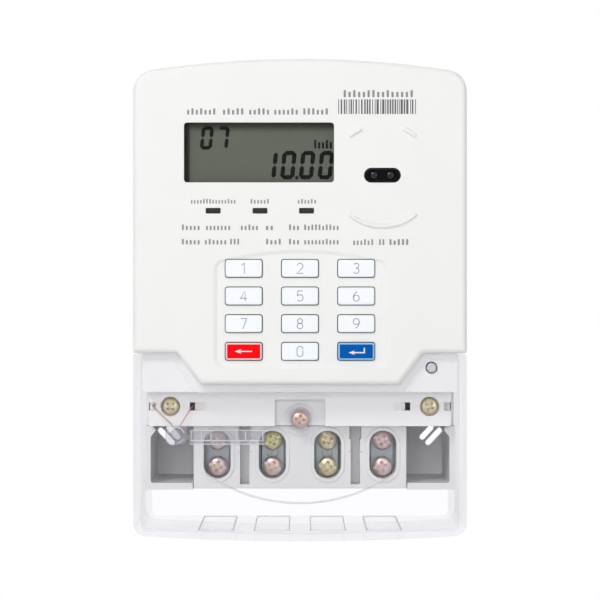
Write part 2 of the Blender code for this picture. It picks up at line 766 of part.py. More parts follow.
def terminal_block():
    """Insulating block: screwdriver wells in front, wire entries below, open to the back."""
    half = BLOCK_HALF_WIDTH
    block = prism(
        "block_body",
        [rectangle(-half, half, BLOCK_BOTTOM_Z, BLOCK_TOP_Z)],
        BLOCK_BACK_Y,
        BLOCK_Y,
    )
    ledge_front_y = RIM_Y + 0.0015
    rim_size = (WELL_WIDTH + 2 * WELL_RIM, WELL_HEIGHT + 2 * WELL_RIM)
    rims = [rounded((x, WELL_Z), rim_size, rim_size[0] / 2 - 1e-5, 5) for x in WELL_XS]
    combine(
        block,
        "UNION",
        box("ledge", (-half, half), (BLOCK_BACK_Y, ledge_front_y), LEDGE_Z),
        box(
            "screw_tongue",
            (-SCREW_TONGUE_HALF_WIDTH, SCREW_TONGUE_HALF_WIDTH),
            (SCREW_TONGUE_BACK_Y, ledge_front_y),
            (LEDGE_Z[0], SCREW_TONGUE_TOP_Z),
        ),
        prism("well_rims", rims, BLOCK_Y + 0.001, BLOCK_Y - WELL_RIM_HEIGHT),
    )
    well_size = (WELL_WIDTH, WELL_HEIGHT)
    wells = [rounded((x, WELL_Z), well_size, WELL_WIDTH / 2 - 1e-5, 5) for x in WELL_XS]
    half = TERMINAL_HALF_WIDTH + GAP
    cavity_z = (TERMINAL_Z[0] - GAP, TERMINAL_Z[1] + GAP)
    cavities = [rectangle(x - half, x + half, *cavity_z) for x in WELL_XS]
    half = BLADE_HALF_WIDTH + GAP
    blade_slots = [rectangle(x - half, x + half, -0.0450, -0.0400) for x in WELL_XS]
    narrow, wide = BARRIER_HALF_WIDTHS
    low, step, high = BARRIER_ZS
    barrier_side = [(narrow, low), (narrow, step), (wide, step), (wide, high)]
    barrier = barrier_side + mirrored(barrier_side)
    barriers = [[(side * BARRIER_X + x, z) for x, z in barrier] for side in (-1, 1)]
    tongue_hole = [circle((0, COVER_SCREW_Z), COVER_SCREW_HOLE_RADIUS, 12)]
    blade_slot_front = TERMINAL_BACK_Y - BLADE_THICKNESS - GAP
    combine(
        block,
        "DIFFERENCE",
        prism("wells", wells, TERMINAL_FRONT_Y + 0.0005, BLOCK_Y - 0.001),
        prism("cavities", cavities, BLOCK_BACK_Y + 0.001, TERMINAL_FRONT_Y - GAP),
        prism("blade_slots", blade_slots, BLOCK_BACK_Y + 0.0012, blade_slot_front),
        prism("barriers", barriers, BARRIER_FLOOR_Y, BLOCK_Y - 0.001),
        prism("tongue_hole", tongue_hole, -0.0245, ledge_front_y - 0.001),
        *[
            cylinder("wire_entry", (x, TUNNEL_Y, -0.0635), TUNNEL_RADIUS + GAP, 0.005, (0, 0, 1))
            for x in WELL_XS
        ],
    )
    return make_part(block, "terminal_block", PALE_GREY, 0.45)


def terminals():
    """Four plated terminals with a wire tunnel, two screw holes and a blade to the inside."""
    for index, x in enumerate(WELL_XS):
        half = TERMINAL_HALF_WIDTH
        metal = prism(
            "terminal_body",
            [rectangle(x - half, x + half, *TERMINAL_Z)],
            TERMINAL_BACK_Y,
            TERMINAL_FRONT_Y,
        )
        blade = box(
            "blade",
            (x - BLADE_HALF_WIDTH, x + BLADE_HALF_WIDTH),
            (TERMINAL_BACK_Y, TERMINAL_BACK_Y - BLADE_THICKNESS),
            (TERMINAL_Z[1] - 0.0007, BLADE_TOP_Z),
        )
        combine(metal, "UNION", blade)
        screw_holes = [circle((x, z), SCREW_THREAD_RADIUS, 16) for z in SCREW_ZS]
        tunnel_centre = (x, TUNNEL_Y, -0.0546)
        combine(
            metal,
            "DIFFERENCE",
            cylinder("tunnel", tunnel_centre, TUNNEL_RADIUS, 0.0172, (0, 0, 1), 24),
            prism("screw_threads", screw_holes, TUNNEL_Y, TERMINAL_FRONT_Y - 0.001),
        )
        make_part(metal, f"terminal_{index + 1}", (0.62, 0.66, 0.72), 0.25, 1.0)


def pan_head_screw(name, head_radius, head_height, shank_radius, length, recess):
    """A pan-head screw with a cross recess, its head to the front and its seat at the origin."""
    profile = [
        (0, head_height),
        (head_radius * 0.5, head_height * 0.98),
        (head_radius * 0.85, head_height * 0.75),
        (head_radius, head_height * 0.35),
        (head_radius, 0),
        (shank_radius, 0),
        (shank_radius, -length + 0.0006),
        (shank_radius - 0.0006, -length),
        (0, -length),
    ]
    screw = turned(name, profile, (0, 0, 0), 12)
    span, width = recess
    cut = prism("cross", [cross((0, 0), span, width)], -head_height * 0.45, -head_height - 0.001)
    combine(screw, "DIFFERENCE", cut)
    mesh = evaluated_mesh(screw)
    bpy.data.objects.remove(screw)
    bpy.data.objects.remove(cut)
    return mesh


def place_screw(mesh, name, location, color):
    screw = add_object(name, mesh.copy())
    screw.location = location
    make_part(screw, name, color, 0.3, 1.0)
    smooth(screw)


def screws():
    """Terminal screws, case screws, and the captive screw of the clear cover with its washer."""
    terminal = pan_head_screw("terminal_screw", 0.0034, 0.0024, 0.0023, 0.0097, (0.0042, 0.0011))
    for index, x in enumerate(WELL_XS):
        for place, z in zip(("upper", "lower"), SCREW_ZS):
            name = f"terminal_{index + 1}_{place}_screw"
            place_screw(terminal, name, (x, TERMINAL_SCREW_SEAT_Y, z), YELLOW_ZINC)
    case = pan_head_screw("case_screw", 0.0030, 0.0022, 0.0014, 0.0190, (0.0036, 0.0009))
    for side, place in ((-1, "left"), (1, "right")):
        location = (side * CASE_SCREW[0], CASE_SCREW_SEAT_Y - GAP, CASE_SCREW[1])
        place_screw(case, f"case_screw_{place}", location, YELLOW_ZINC)
    washer_y = SCREW_WELL_BACK_Y - SCREW_WELL_FLOOR - GAP
    centre = (0, COVER_SCREW_Z)
    washer_front_y = washer_y - WASHER_THICKNESS
    rings = [circle(centre, 0.0033), circle(centre, COVER_SCREW_HOLE_RADIUS, 12)]
    washer = prism("washer", rings, washer_y, washer_front_y, holed=True)
    make_part(washer, "cover_screw_washer", (0.75, 0.75, 0.74), 0.3, 1.0)
    cover = pan_head_screw("cover_screw", 0.0030, 0.0022, 0.0015, 0.0190, (0.0036, 0.0009))
    place_screw(cover, "cover_screw", (0, washer_front_y - GAP, COVER_SCREW_Z), (0.78, 0.62, 0.55))


def keys():
    """Twelve keys, each a cap with a retaining flange and a plunger behind it."""
    colors = {"backspace": (0.70, 0.03, 0.04), "enter": (0.01, 0.10, 0.42)}
    cap = prism("cap", [rounded((0, 0), KEY_SIZE, 0.0008, 2)], FACE_BACK_Y + 0.0005, KEY_FRONT_Y)
    round_front(cap, KEY_FRONT_Y, 0.0004, 1)
    flange_size = (KEY_SIZE[0] + KEY_FLANGE[0], KEY_SIZE[1] + KEY_FLANGE[1])
    flange_y = (FACE_BACK_Y + GAP, FACE_BACK_Y + GAP + KEY_FLANGE_THICKNESS)
    flange = prism("flange", [rounded((0, 0), flange_size, 0.0006, 1)], *flange_y)
    plunger_end = mat_top_y() - GAP - KEY_TRAVEL
    rod = [circle((0, 0), KEY_PLUNGER_RADIUS, 10)]
    plunger = prism("plunger", rod, flange_y[0] + OVERLAP, plunger_end)
    combine(cap, "UNION", flange, plunger)
    mesh = evaluated_mesh(cap)
    for shape in (cap, flange, plunger):
        bpy.data.objects.remove(shape)
    mesh.transform(Matrix.Translation((0, -KEY_FRONT_Y, 0)))
    for label, (x, z) in key_positions():
        key = add_object(f"key_{label}", mesh.copy())
        key.location = (x, KEY_FRONT_Y, z)
        make_part(key, f"key_{label}", colors.get(label, WHITE), 0.35)


def mat_top_y():
    """Depth of the pads of the keypad mat, which stand in front of the board."""
    return BOARD_FRONT_Y - GAP - MAT_PAD_HEIGHT


def keypad_mat():
    """Elastomer mat on the board with one pad under each key."""
    sheet = [rounded(MAT_CENTRE, MAT_SIZE, 0.002, 2)]
    sheet_y = BOARD_FRONT_Y - GAP
    mat = prism("mat_sheet", sheet, sheet_y, sheet_y - MAT_SHEET)
    pads = [circle(centre, MAT_PAD_RADIUS, 10) for _, centre in key_positions()]
    combine(mat, "UNION", prism("mat_pads", pads, sheet_y - MAT_SHEET + OVERLAP, mat_top_y()))
    make_part(mat, "keypad_mat", (0.55, 0.56, 0.57), 0.7)


def display():
    """Display window in its rebate, the LCD behind it and the holder on the board."""
    window_size = (WINDOW_SIZE[0] + 0.0016, WINDOW_SIZE[1] + 0.0016)
    window_y = REBATE_Y + GAP
    window = [rounded(WINDOW_CENTRE, window_size, 0.0008, 1)]
    pane = prism("window", window, window_y, window_y + WINDOW_THICKNESS)
    make_part(pane, "display_window", CLEAR, 0.05)
    panel = [rounded(WINDOW_CENTRE, PANEL_SIZE, 0.0005, 1)]
    make_part(prism("panel", panel, *PANEL_Y), "lcd_panel", (0.13, 0.13, 0.11), 0.2)
    holder = [rounded(WINDOW_CENTRE, HOLDER_SIZE, 0.0010, 1)]
    holder_y = (BOARD_FRONT_Y - GAP, PANEL_Y[1] + GAP)
    make_part(prism("holder", holder, *holder_y), "lcd_holder", WHITE, 0.5)


def optical_port():
    """Dark window of the port, its steel plate, and the infrared emitter and receiver."""
    x, z = PORT_CENTRE
    pane_size = (PORT_SIZE[0] - 2 * GAP, PORT_SIZE[1] - 2 * GAP)
    flange_size = (PORT_SIZE[0] + 0.0010, PORT_SIZE[1] + 0.0010)
    flange_y = REBATE_Y + GAP
    pane = prism(
        "port_pane",
        [rounded(PORT_CENTRE, pane_size, pane_size[1] / 2 - 1e-5, 5)],
        flange_y + OVERLAP,
        FACE_Y + 0.0003,
    )
    flange = [rounded(PORT_CENTRE, flange_size, flange_size[1] / 2 - 1e-5, 5)]
    combine(pane, "UNION", prism("port_flange", flange, flange_y, flange_y + 0.0014))
    make_part(pane, "optical_window", (0.01, 0.01, 0.012), 0.08)
    plate_y = FACE_BACK_Y + GAP
    outer, inner = PORT_PLATE_RADII
    rings = [circle(PORT_CENTRE, outer, 28), circle(PORT_CENTRE, inner)]
    plate = prism("port_plate", rings, plate_y, plate_y + PORT_PLATE_THICKNESS, holed=True)
    make_part(plate, "optical_plate", STEEL, 0.35, 1.0)
    radius, body = 0.0025, 0.0045
    lean = [i * math.pi / 8 for i in range(4)]
    dome = [(radius * math.sin(angle), body + radius * math.cos(angle)) for angle in lean]
    profile = dome + [(radius, body), (radius, 0), (0, 0)]
    for side, name in ((-1, "ir_emitter"), (1, "ir_receiver")):
        place = (x + side * PORT_SPACING / 2, BOARD_FRONT_Y - GAP, z)
        lamp = turned(name, profile, place, 12)
        make_part(lamp, name, (0.03, 0.03, 0.05), 0.1)
        smooth(lamp)


def signal_lamps():
    """Rectangular light guides of the three signal lamps."""
    size = (LAMP_SIZE[0] - 2 * GAP, LAMP_SIZE[1] - 2 * GAP)
    for name, x in zip(("pulse_lamp", "alarm_lamp", "credit_lamp"), LAMP_XS):
        outline = [rounded((x, LAMP_Z), size, 0.0002, 1)]
        guide = prism(name, outline, BOARD_FRONT_Y - GAP, FACE_Y + 0.0003)
        make_part(guide, name, (0.06, 0.02, 0.02), 0.2)


def board():
    """Main circuit board, held on the pins of the front cover."""
    low, high = BOARD_Z
    outline = rounded((0, (low + high) / 2), (2 * BOARD_HALF_WIDTH, high - low), 0.002, 2)
    holes = [circle(centre, 0.0015, 12) for centre in BOARD_POSTS]
    sheet = prism("board", [outline] + holes, BOARD_BACK_Y, BOARD_FRONT_Y, holed=True)
    make_part(sheet, "main_board", (0.02, 0.20, 0.08), 0.45)


def board_parts():
    """Components on the back of the board and the tamper switch on its front."""
    back = BOARD_BACK_Y + GAP
    transformer = box("transformer", (0.012, 0.040), (back, back + 0.020), (-0.008, 0.018))
    bevel_box(transformer, 0.001)
    make_part(transformer, "supply_transformer", (0.05, 0.06, 0.10), 0.4)
    capacitor = cylinder("capacitor", (-0.022, back + 0.0105, 0.050), 0.0063, 0.021, (0, 1, 0))
    make_part(capacitor, "smoothing_capacitor", (0.04, 0.05, 0.12), 0.35)
    battery = cylinder("battery", (0.018, back + 0.0078, 0.050), 0.00725, 0.025, (1, 0, 0), 24)
    make_part(battery, "backup_battery", (0.25, 0.45, 0.30), 0.4)
    buzzer = cylinder("buzzer", (-0.036, back + 0.0045, 0.026), 0.006, 0.0085, (0, 1, 0))
    make_part(buzzer, "buzzer", BLACK, 0.4)
    x, z = TAMPER_CENTRE
    front = BOARD_FRONT_Y - GAP
    half = TAMPER_SWITCH_HALF
    depth = (front, front - TAMPER_SWITCH_HEIGHT)
    switch = box("switch", (x - half, x + half), depth, (z - half, z + half))
    make_part(switch, "tamper_switch", BLACK, 0.4)


def bevel_box(shape, width):
    bevel = shape.modifiers.new("Edges", "BEVEL")
    bevel.width = width
    bevel.segments = 1


def tamper_plunger():
    """Pin in the right shoulder that the clear cover keeps pressed against its switch."""
    x, z = TAMPER_CENTRE
    back_y = BOARD_FRONT_Y - GAP - TAMPER_SWITCH_HEIGHT - GAP
    tip_y = COVER_Y + COVER_WALL + GAP
    length = back_y - tip_y
    collar = 0.0007
    profile = [
        (0, length),
        (0.0011, length),
        (0.0016, length - 0.0005),
        (0.0016, collar),
        (0.0027, collar),
        (0.0027, 0),
        (0, 0),
    ]
    pin = turned("plunger", profile, (x, back_y, z), 16)
    make_part(pin, "tamper_plunger", (0.85, 0.85, 0.84), 0.4)
    smooth(pin)


def power_parts():
    """Relay, shunt, bars and current transformer between the terminal blades."""
    first, second, third, fourth = WELL_XS
    relay = box("relay", (-0.040, 0.000), (-WALL - GAP, -0.0225), (RELAY_BOTTOM_Z, 0.012))
    bevel_box(relay, 0.0008)
    make_part(relay, "latching_relay", BLACK, 0.4)
    bar_y = TERMINAL_BACK_Y - BLADE_THICKNESS - GAP
    span_y = (bar_y, bar_y - BUSBAR_THICKNESS)
    half, low = BUSBAR_HALF_WIDTH, BUSBAR_BOTTOM_Z
    top = RELAY_BOTTOM_Z - GAP
    waist = [(0.0014, -0.030), (0.0014, -0.025)]
    shunt_side = [(half, low), (half, -0.032)] + waist + [(half, -0.023), (half, top)]
    shunt = [(x + first, z) for x, z in shunt_side + mirrored(shunt_side)]
    make_part(prism("shunt", [shunt], *span_y), "current_shunt", COPPER, 0.3, 1.0)
    live = [rectangle(second - half, second + half, low, top)]
    make_part(prism("live", live, *span_y), "live_outlet_bar", COPPER, 0.3, 1.0)
    bridge_low, bridge_high = NEUTRAL_Z
    neutral = [
        (third - half, low),
        (third + half, low),
        (third + half, bridge_low),
        (fourth - half, bridge_low),
        (fourth - half, low),
        (fourth + half, low),
        (fourth + half, bridge_high),
        (third - half, bridge_high),
    ]
    make_part(prism("neutral", [neutral], *span_y), "neutral_bar", COPPER, 0.3, 1.0)
    centre = ((third + fourth) / 2, sum(span_y) / 2, sum(NEUTRAL_Z) / 2)
    ring = cylinder("ct", centre, 0.0095, 0.0076, (1, 0, 0), 28)
    hole = cylinder("ct_hole", centre, 0.0038, 0.010, (1, 0, 0), 16)
    combine(ring, "DIFFERENCE", hole)
    make_part(ring, "current_transformer", (0.03, 0.16, 0.30), 0.4)


def gasket():
    """Elastomer cord in the rebate of the rear rim, around the top and both sides."""
    outer = compartment(GASKET_INSET, GASKET_END_Z)
    inner = compartment(WALL, GASKET_END_Z)
    outside = outer + crown(GASKET_INSET) + mirrored(outer)
    inside = inner + crown(WALL) + mirrored(inner)
    outline = outside + inside[::-1]
    cord = prism("cord", [outline], RIM_Y + GASKET_HEIGHT, RIM_Y)
    make_part(cord, "case_gasket", (0.08, 0.08, 0.08), 0.8)


def hanger():
    """Sheet-metal hanger that slides up out of the back of the rear case, with a screw eye."""
    plate = rounded((0, HANGER_CENTRE_Z), HANGER_SIZE, 0.003, 3)
    eye = circle((0, HANGER_EYE_Z), HANGER_EYE_RADIUS, 16)
    piece = prism("hanger", [plate, eye], *HANGER_Y, holed=True)
    make_part(piece, "wall_hanger", STEEL, 0.35, 1.0)
    set_origin(piece, (0, sum(HANGER_Y) / 2, HANGER_CENTRE_Z))


def seal():
    """Clear sealing body with its flag."""
    body = prism("seal", [rounded(SEAL_CENTRE, SEAL_SIZE, 0.001, 2)], *SEAL_Y)
    flag = prism("flag", [rounded(FLAG_CENTRE, FLAG_SIZE, 0.0005, 1)], *FLAG_Y)
    neck = rectangle(-0.0390, -0.0370, -0.0474, -0.0458)
    combine(body, "UNION", prism("neck", [neck], *FLAG_Y), flag)
    make_part(body, "seal_body", CLEAR, 0.1)
    seal_wire()


def seal_wire():
    """Copper wire from the sealing body, through both slots beside the left case screw and back."""
    front_y, back_y = -0.0467, -0.0415
    route = [
        (-0.0434, -0.0490, -0.0425),
        (-0.0462, -0.0480, -0.0399),
        (-0.0494, front_y, -0.0369),
        (-0.0502, -0.0460, -0.0363),
        (-0.0502, back_y, -0.0361),
        (-0.04875, back_y, -0.0354),
        (-0.04875, back_y, -0.0316),
        (-0.0470, back_y, -0.0298),
        (-0.0412, back_y, -0.0298),
        (-0.0384, back_y, -0.0318),
        (-0.0366, back_y, -0.0360),
        (-0.0366, -0.0460, -0.0363),
        (-0.0372, front_y, -0.0369),
        (-0.0388, -0.0480, -0.0395),
        (-0.0406, -0.0490, -0.0425),
    ]
    curve = bpy.data.curves.new("seal_wire", "CURVE")
    curve.dimensions = "3D"
    curve.bevel_depth = SEAL_WIRE_RADIUS
    curve.bevel_resolution = 2
    curve.use_fill_caps = True
    spline = curve.splines.new("POLY")
    spline.points.add(len(route) - 1)
    for point, place in zip(spline.points, route):
        point.co = (*place, 1)
    line = add_object("seal_wire_line", curve)
    wire = add_object("seal_wire", evaluated_mesh(line))
    bpy.data.objects.remove(line)
    make_part(wire, "seal_wire", (0.75, 0.38, 0.22), 0.3, 1.0)


def main():
    start_scene()
    rear_case()
    gasket()
    hanger()
    front_cover()
    display()
    optical_port()
    signal_lamps()
    keys()
    keypad_mat()
    board()
    board_parts()
    tamper_plunger()
    power_parts()
    terminal_block()
    terminals()
    screws()
    terminal_cover()
    seal()


main()
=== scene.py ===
"""Looks of the prepaid electricity meter: fine shells, keys, display, screws and seal round the CAD frame."""

import math
import random

import bmesh
import bpy
from mathutils import Matrix, Vector


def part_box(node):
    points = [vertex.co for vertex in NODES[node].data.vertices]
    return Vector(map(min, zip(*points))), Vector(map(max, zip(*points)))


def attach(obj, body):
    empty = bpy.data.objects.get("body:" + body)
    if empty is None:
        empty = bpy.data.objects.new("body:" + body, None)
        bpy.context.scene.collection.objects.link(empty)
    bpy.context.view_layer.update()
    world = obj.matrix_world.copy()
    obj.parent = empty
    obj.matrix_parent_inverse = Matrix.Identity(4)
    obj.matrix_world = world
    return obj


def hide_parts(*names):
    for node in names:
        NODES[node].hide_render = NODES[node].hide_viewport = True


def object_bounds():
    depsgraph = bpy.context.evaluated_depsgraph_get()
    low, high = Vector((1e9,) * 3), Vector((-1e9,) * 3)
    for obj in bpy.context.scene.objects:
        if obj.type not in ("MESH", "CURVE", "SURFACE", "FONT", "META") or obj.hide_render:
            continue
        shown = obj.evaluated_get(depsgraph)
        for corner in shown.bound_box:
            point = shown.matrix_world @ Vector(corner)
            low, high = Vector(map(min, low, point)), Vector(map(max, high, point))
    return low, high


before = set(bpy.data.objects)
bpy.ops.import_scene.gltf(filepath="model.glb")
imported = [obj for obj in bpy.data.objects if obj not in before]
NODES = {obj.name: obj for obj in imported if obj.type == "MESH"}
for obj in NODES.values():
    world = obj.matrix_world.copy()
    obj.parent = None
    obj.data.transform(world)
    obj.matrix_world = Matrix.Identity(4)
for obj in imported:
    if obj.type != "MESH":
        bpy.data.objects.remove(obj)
CAD_LOW, CAD_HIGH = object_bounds()
MM = 0.001
ROOT = "meter"
rng = random.Random(7)


def mm(*values):
    """Millimetres as metres."""
    return tuple(value * MM for value in values)


def span(node, axis):
    """Lowest and highest value of a CAD node along axis 0, 1 or 2."""
    low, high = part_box(node)
    return low[axis], high[axis]


def centre_of(node):
    low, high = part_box(node)
    return (Vector(low) + Vector(high)) / 2


def front_of(node):
    """Middle of a CAD node as (x, z)."""
    centre = centre_of(node)
    return centre.x, centre.z


# Places that come from the CAD model.
HALF_WIDTH = CAD_HIGH[0]
TOP_Z = CAD_HIGH[2]
BOTTOM_Z = CAD_LOW[2]
RIDGE_Y = span("front_cover", 1)[0]
FACE_Y = RIDGE_Y + 0.8 * MM
COVER_BACK_Y = span("front_cover", 1)[1]
RIM_Y = COVER_BACK_Y + 0.3 * MM
BAR_BOTTOM_Z = span("front_cover", 2)[0]
CASE_BOTTOM_Z = span("rear_case", 2)[0]
BLOCK_FRONT_Y = span("rear_case", 1)[0]
CLEAR_TOP_Z = span("terminal_cover", 2)[1]
CLEAR_FRONT_Y = span("terminal_cover", 1)[0]
CLEAR_BACK_Y = span("terminal_cover", 1)[1]
WELL_XS = [centre_of(f"terminal_{i}").x for i in (1, 2, 3, 4)]
COVER_SCREW_Z = centre_of("cover_screw").z
CASE_SCREW = front_of("case_screw_right")
PORT = front_of("optical_window")
WINDOW = front_of("display_window")
TAMPER = front_of("tamper_plunger")
LAMPS = ("pulse_lamp", "alarm_lamp", "credit_lamp")
LAMP_Z = centre_of("pulse_lamp").z

# Shapes that the shells share with the CAD model.
CROWN_RADIUS = 345 * MM
CORNER_RADIUS = 7.5 * MM
WALL = 2.2 * MM
STEP_Z = CLEAR_TOP_Z + 0.3 * MM
LOWER_HALF_WIDTH = 53.3 * MM
FACE_BACK_Y = FACE_Y + 2.4 * MM
BAR_Y = -46 * MM
SHOULDER_Y = -54 * MM
KEYPAD_FLOOR_Y = FACE_Y + 0.7 * MM
WINDOW_SIZE = mm(50.3, 20.1)
PORT_SIZE = mm(12.4, 5.0)
WELL_SIZE = mm(9.35, 16.6)
WELL_Z = -53.2 * MM
BLOCK_TOP_Z = -43.3 * MM
COVER_SCREW_HOLE = 1.8 * MM
CASE_SCREW_HOLE = 1.7 * MM
BOSS_RADIUS = 4 * MM
TUNNEL_Y = -20 * MM
KEY_SIZE = mm(12.2, 5.8)
KEY_HOLE_SIZE = mm(12.8, 6.4)
KEY_FLANGE_SIZE = mm(14.2, 7.6)
LENS_OFFSET = 2.75 * MM
CAMERA_LENS = 125.4
CAMERA_DISTANCE = 0.70
SCREW_ZS = mm(-48.5, -57.5)


# ---- outlines


def arc(centre, radius, start, end, steps):
    """Points about a centre in the XZ plane, from one angle in degrees to another."""
    points = []
    for i in range(steps + 1):
        angle = math.radians(start + (end - start) * i / steps)
        points.append((centre[0] + radius * math.cos(angle), centre[1] + radius * math.sin(angle)))
    return points


def circle(centre, radius, steps=48):
    return arc(centre, radius, 0, 360, steps)[:-1]


def rectangle(x_from, x_to, z_from, z_to):
    return [(x_from, z_from), (x_to, z_from), (x_to, z_to), (x_from, z_to)]


def rounded(centre, size, radius, steps=6):
    """Rectangle with round corners, counter-clockwise."""
    points = []
    half_x, half_z = size[0] / 2 - radius, size[1] / 2 - radius
    for quarter, (side, up) in enumerate(((1, 1), (-1, 1), (-1, -1), (1, -1))):
        corner = (centre[0] + side * half_x, centre[1] + up * half_z)
        points += arc(corner, radius, 90 * quarter, 90 * quarter + 90, steps)
    return without_repeats(points)


def mirrored(points):
    return [(-x, z) for x, z in reversed(points)]


def without_repeats(points):
    return [p for i, p in enumerate(points) if math.dist(p, points[i - 1]) > 1e-6]


def filleted(corners, steps=5, gap=0.0):
    """Outline through corners given as (x, z, radius), moved in by a gap and rounded by its radii."""
    points = []
    sharp = inset([(x, z) for x, z, _ in corners], gap)
    for i, (x, z) in enumerate(sharp):
        here = Vector((x, z))
        radius = corners[i][2]
        if radius <= 0:
            points.append((x, z))
            continue
        before = Vector(sharp[i - 1]) - here
        after = Vector(sharp[(i + 1) % len(sharp)]) - here
        convex = before.x * after.y - before.y * after.x < 0
        radius = max(radius - gap, 0.03 * MM) if convex else radius + gap
        before, after = before.normalized(), after.normalized()
        half = before.angle(after) / 2
        reach = radius / math.tan(half)
        middle = here + (before + after).normalized() * (radius / math.sin(half))
        first = here + before * reach - middle
        last = here + after * reach - middle
        turn = first.angle_signed(last)
        for k in range(steps + 1):
            angle = -turn * k / steps
            spoke = Vector(
                (
                    first.x * math.cos(angle) - first.y * math.sin(angle),
                    first.x * math.sin(angle) + first.y * math.cos(angle),
                )
            )
            points.append(tuple(middle + spoke))
    return without_repeats(points)


def inset(points, distance):
    """The outline moved inwards; outwards with a negative distance. Points run counter-clockwise."""
    moved = []
    count = len(points)
    for i, point in enumerate(points):
        here = Vector(point)
        along_in = (here - Vector(points[i - 1])).normalized()
        along_out = (Vector(points[(i + 1) % count]) - here).normalized()
        normal_in = Vector((-along_in.y, along_in.x))
        normal_out = Vector((-along_out.y, along_out.x))
        share = max(1 + normal_in.dot(normal_out), 0.2)
        moved.append(tuple(here + (normal_in + normal_out) * (distance / share)))
    return moved


def crown(gap=0.0):
    """The case's arched top moved in by a gap, from the right side to the left."""
    corner_x = HALF_WIDTH - CORNER_RADIUS
    rise = math.sqrt((CROWN_RADIUS - CORNER_RADIUS) ** 2 - corner_x**2)
    corner = (corner_x, TOP_Z - CROWN_RADIUS + rise)
    lean = math.degrees(math.atan2(rise, corner_x))
    right = arc(corner, CORNER_RADIUS - gap, 0, lean, 12)
    middle = arc((0, TOP_Z - CROWN_RADIUS), CROWN_RADIUS - gap, lean, 180 - lean, 36)[1:-1]
    return right + middle + mirrored(right)


def face_outline(gap=0.0):
    """Raised front face of the case with its notched lower edge, counter-clockwise."""
    left = [(-HALF_WIDTH, STEP_Z, 0.6 * MM), (-41.4 * MM, STEP_Z, 1.2 * MM), mm(-33.3, -28.4, 1.2)]
    right = [(-x, z, r) for x, z, r in reversed(left)]
    return filleted([(x, z, 0) for x, z in crown()] + left + right, gap=gap)


def clear_outline(gap=0.0):
    """Front of the clear cover: two tabs, the dip between them and the curved bottom."""
    radius, corner = 800 * MM, 4.5 * MM
    corner_x = HALF_WIDTH - corner
    drop = math.sqrt((radius - corner) ** 2 - corner_x**2)
    middle = (corner_x, BOTTOM_Z + radius - drop)
    lean = math.degrees(math.atan2(drop, corner_x))
    bottom = arc((0, BOTTOM_Z + radius), radius, -180 + lean, -lean, 30)[1:-1]
    right = arc(middle, corner, -lean, 0, 10)
    tabs = [
        (HALF_WIDTH, CLEAR_TOP_Z, 0.8 * MM),
        (41.7 * MM, CLEAR_TOP_Z, 0.9 * MM),
        mm(33.6, -28.7, 0.9),
    ]
    tabs += [(-x, z, r) for x, z, r in reversed(tabs)]
    corners = [(x, z, 0) for x, z in bottom + right] + tabs
    return filleted(corners + [(x, z, 0) for x, z in mirrored(right)], gap=gap)


# ---- meshes


def add(name, work):
    """Makes an object from bmesh work, with its faces pointing out."""
    bmesh.ops.recalc_face_normals(work, faces=work.faces)
    mesh = bpy.data.meshes.new(name)
    work.to_mesh(mesh)
    work.free()
    piece = bpy.data.objects.new(name, mesh)
    bpy.context.scene.collection.objects.link(piece)
    return piece


def loft(name, rings):
    """A closed solid through rings of as many points each, capped at both ends."""
    work = bmesh.new()
    loops = [[work.verts.new(p) for p in ring] for ring in rings]
    for low, high in zip(loops, loops[1:]):
        for i in range(len(low)):
            work.faces.new((low[i - 1], low[i], high[i], high[i - 1]))
    work.faces.new(loops[0])
    work.faces.new(loops[-1])
    return add(name, work)


def at_depth(outline, y):
    return [(x, y, z) for x, z in outline]


def prism(name, outline, y_from, y_to):
    return loft(name, [at_depth(outline, y_from), at_depth(outline, y_to)])


def tool(outline, y_from, y_to):
    """A prism that another piece takes up."""
    return prism("tool", outline, y_from, y_to)


def disc(centre, radius, steps, y_from, y_to):
    """A round tool along the Y axis."""
    return tool(circle(centre, radius, steps), y_from, y_to)


def upright(piece, x, y, z):
    """Turns a tool so that its length stands along the Z axis, and moves it."""
    piece.data.transform(Matrix.Translation((x, y, z)) @ Matrix.Rotation(math.pi / 2, 4, "X"))
    return piece


def dome_rings(outline, y_back, y_front, radius, steps=6, start=0.0):
    """Rings of a block with a rounded front edge. The outline may be a function of its inset."""
    shrink = outline if callable(outline) else lambda gap: inset(outline, gap)
    rings = [at_depth(shrink(start), y_back)]
    for i in range(steps + 1):
        angle = math.pi / 2 * i / steps
        depth = y_front + radius * (1 - math.sin(angle))
        rings.append(at_depth(shrink(start + radius * (1 - math.cos(angle))), depth))
    return rings


def turned(name, profile, steps=48, location=(0, 0, 0)):
    """A turned solid about the Y axis: profile of (radius, distance in front) from front to back."""
    work = bmesh.new()
    turns = [math.tau * i / steps for i in range(steps)]
    rings = []
    for radius, ahead in profile:
        if radius < 1e-7:
            rings.append([work.verts.new((0, -ahead, 0))] * steps)
        else:
            ring = [(radius * math.cos(t), -ahead, radius * math.sin(t)) for t in turns]
            rings.append([work.verts.new(point) for point in ring])
    for low, high in zip(rings, rings[1:]):
        for i in range(steps):
            work.faces.new(list(dict.fromkeys((low[i - 1], low[i], high[i], high[i - 1]))))
    piece = add(name, work)
    piece.data.transform(Matrix.Translation(location))
    return piece


def apply_modifiers(piece):
    bpy.context.view_layer.update()
    source = piece.evaluated_get(bpy.context.evaluated_depsgraph_get())
    mesh = bpy.data.meshes.new_from_object(source)
    piece.modifiers.clear()
    piece.data = mesh
    return piece


def carve(piece, operation, tools):
    for other in tools:
        step = piece.modifiers.new("Carve", "BOOLEAN")
        step.operation = operation
        step.solver = "EXACT"
        step.object = other
    apply_modifiers(piece)
    for other in tools:
        bpy.data.objects.remove(other)


def cut(piece, *tools):
    """Takes other solids, which are used up, out of a piece."""
    carve(piece, "DIFFERENCE", tools)


def fuse(piece, *tools):
    """Joins other solids, which are used up, to a piece."""
    carve(piece, "UNION", tools)


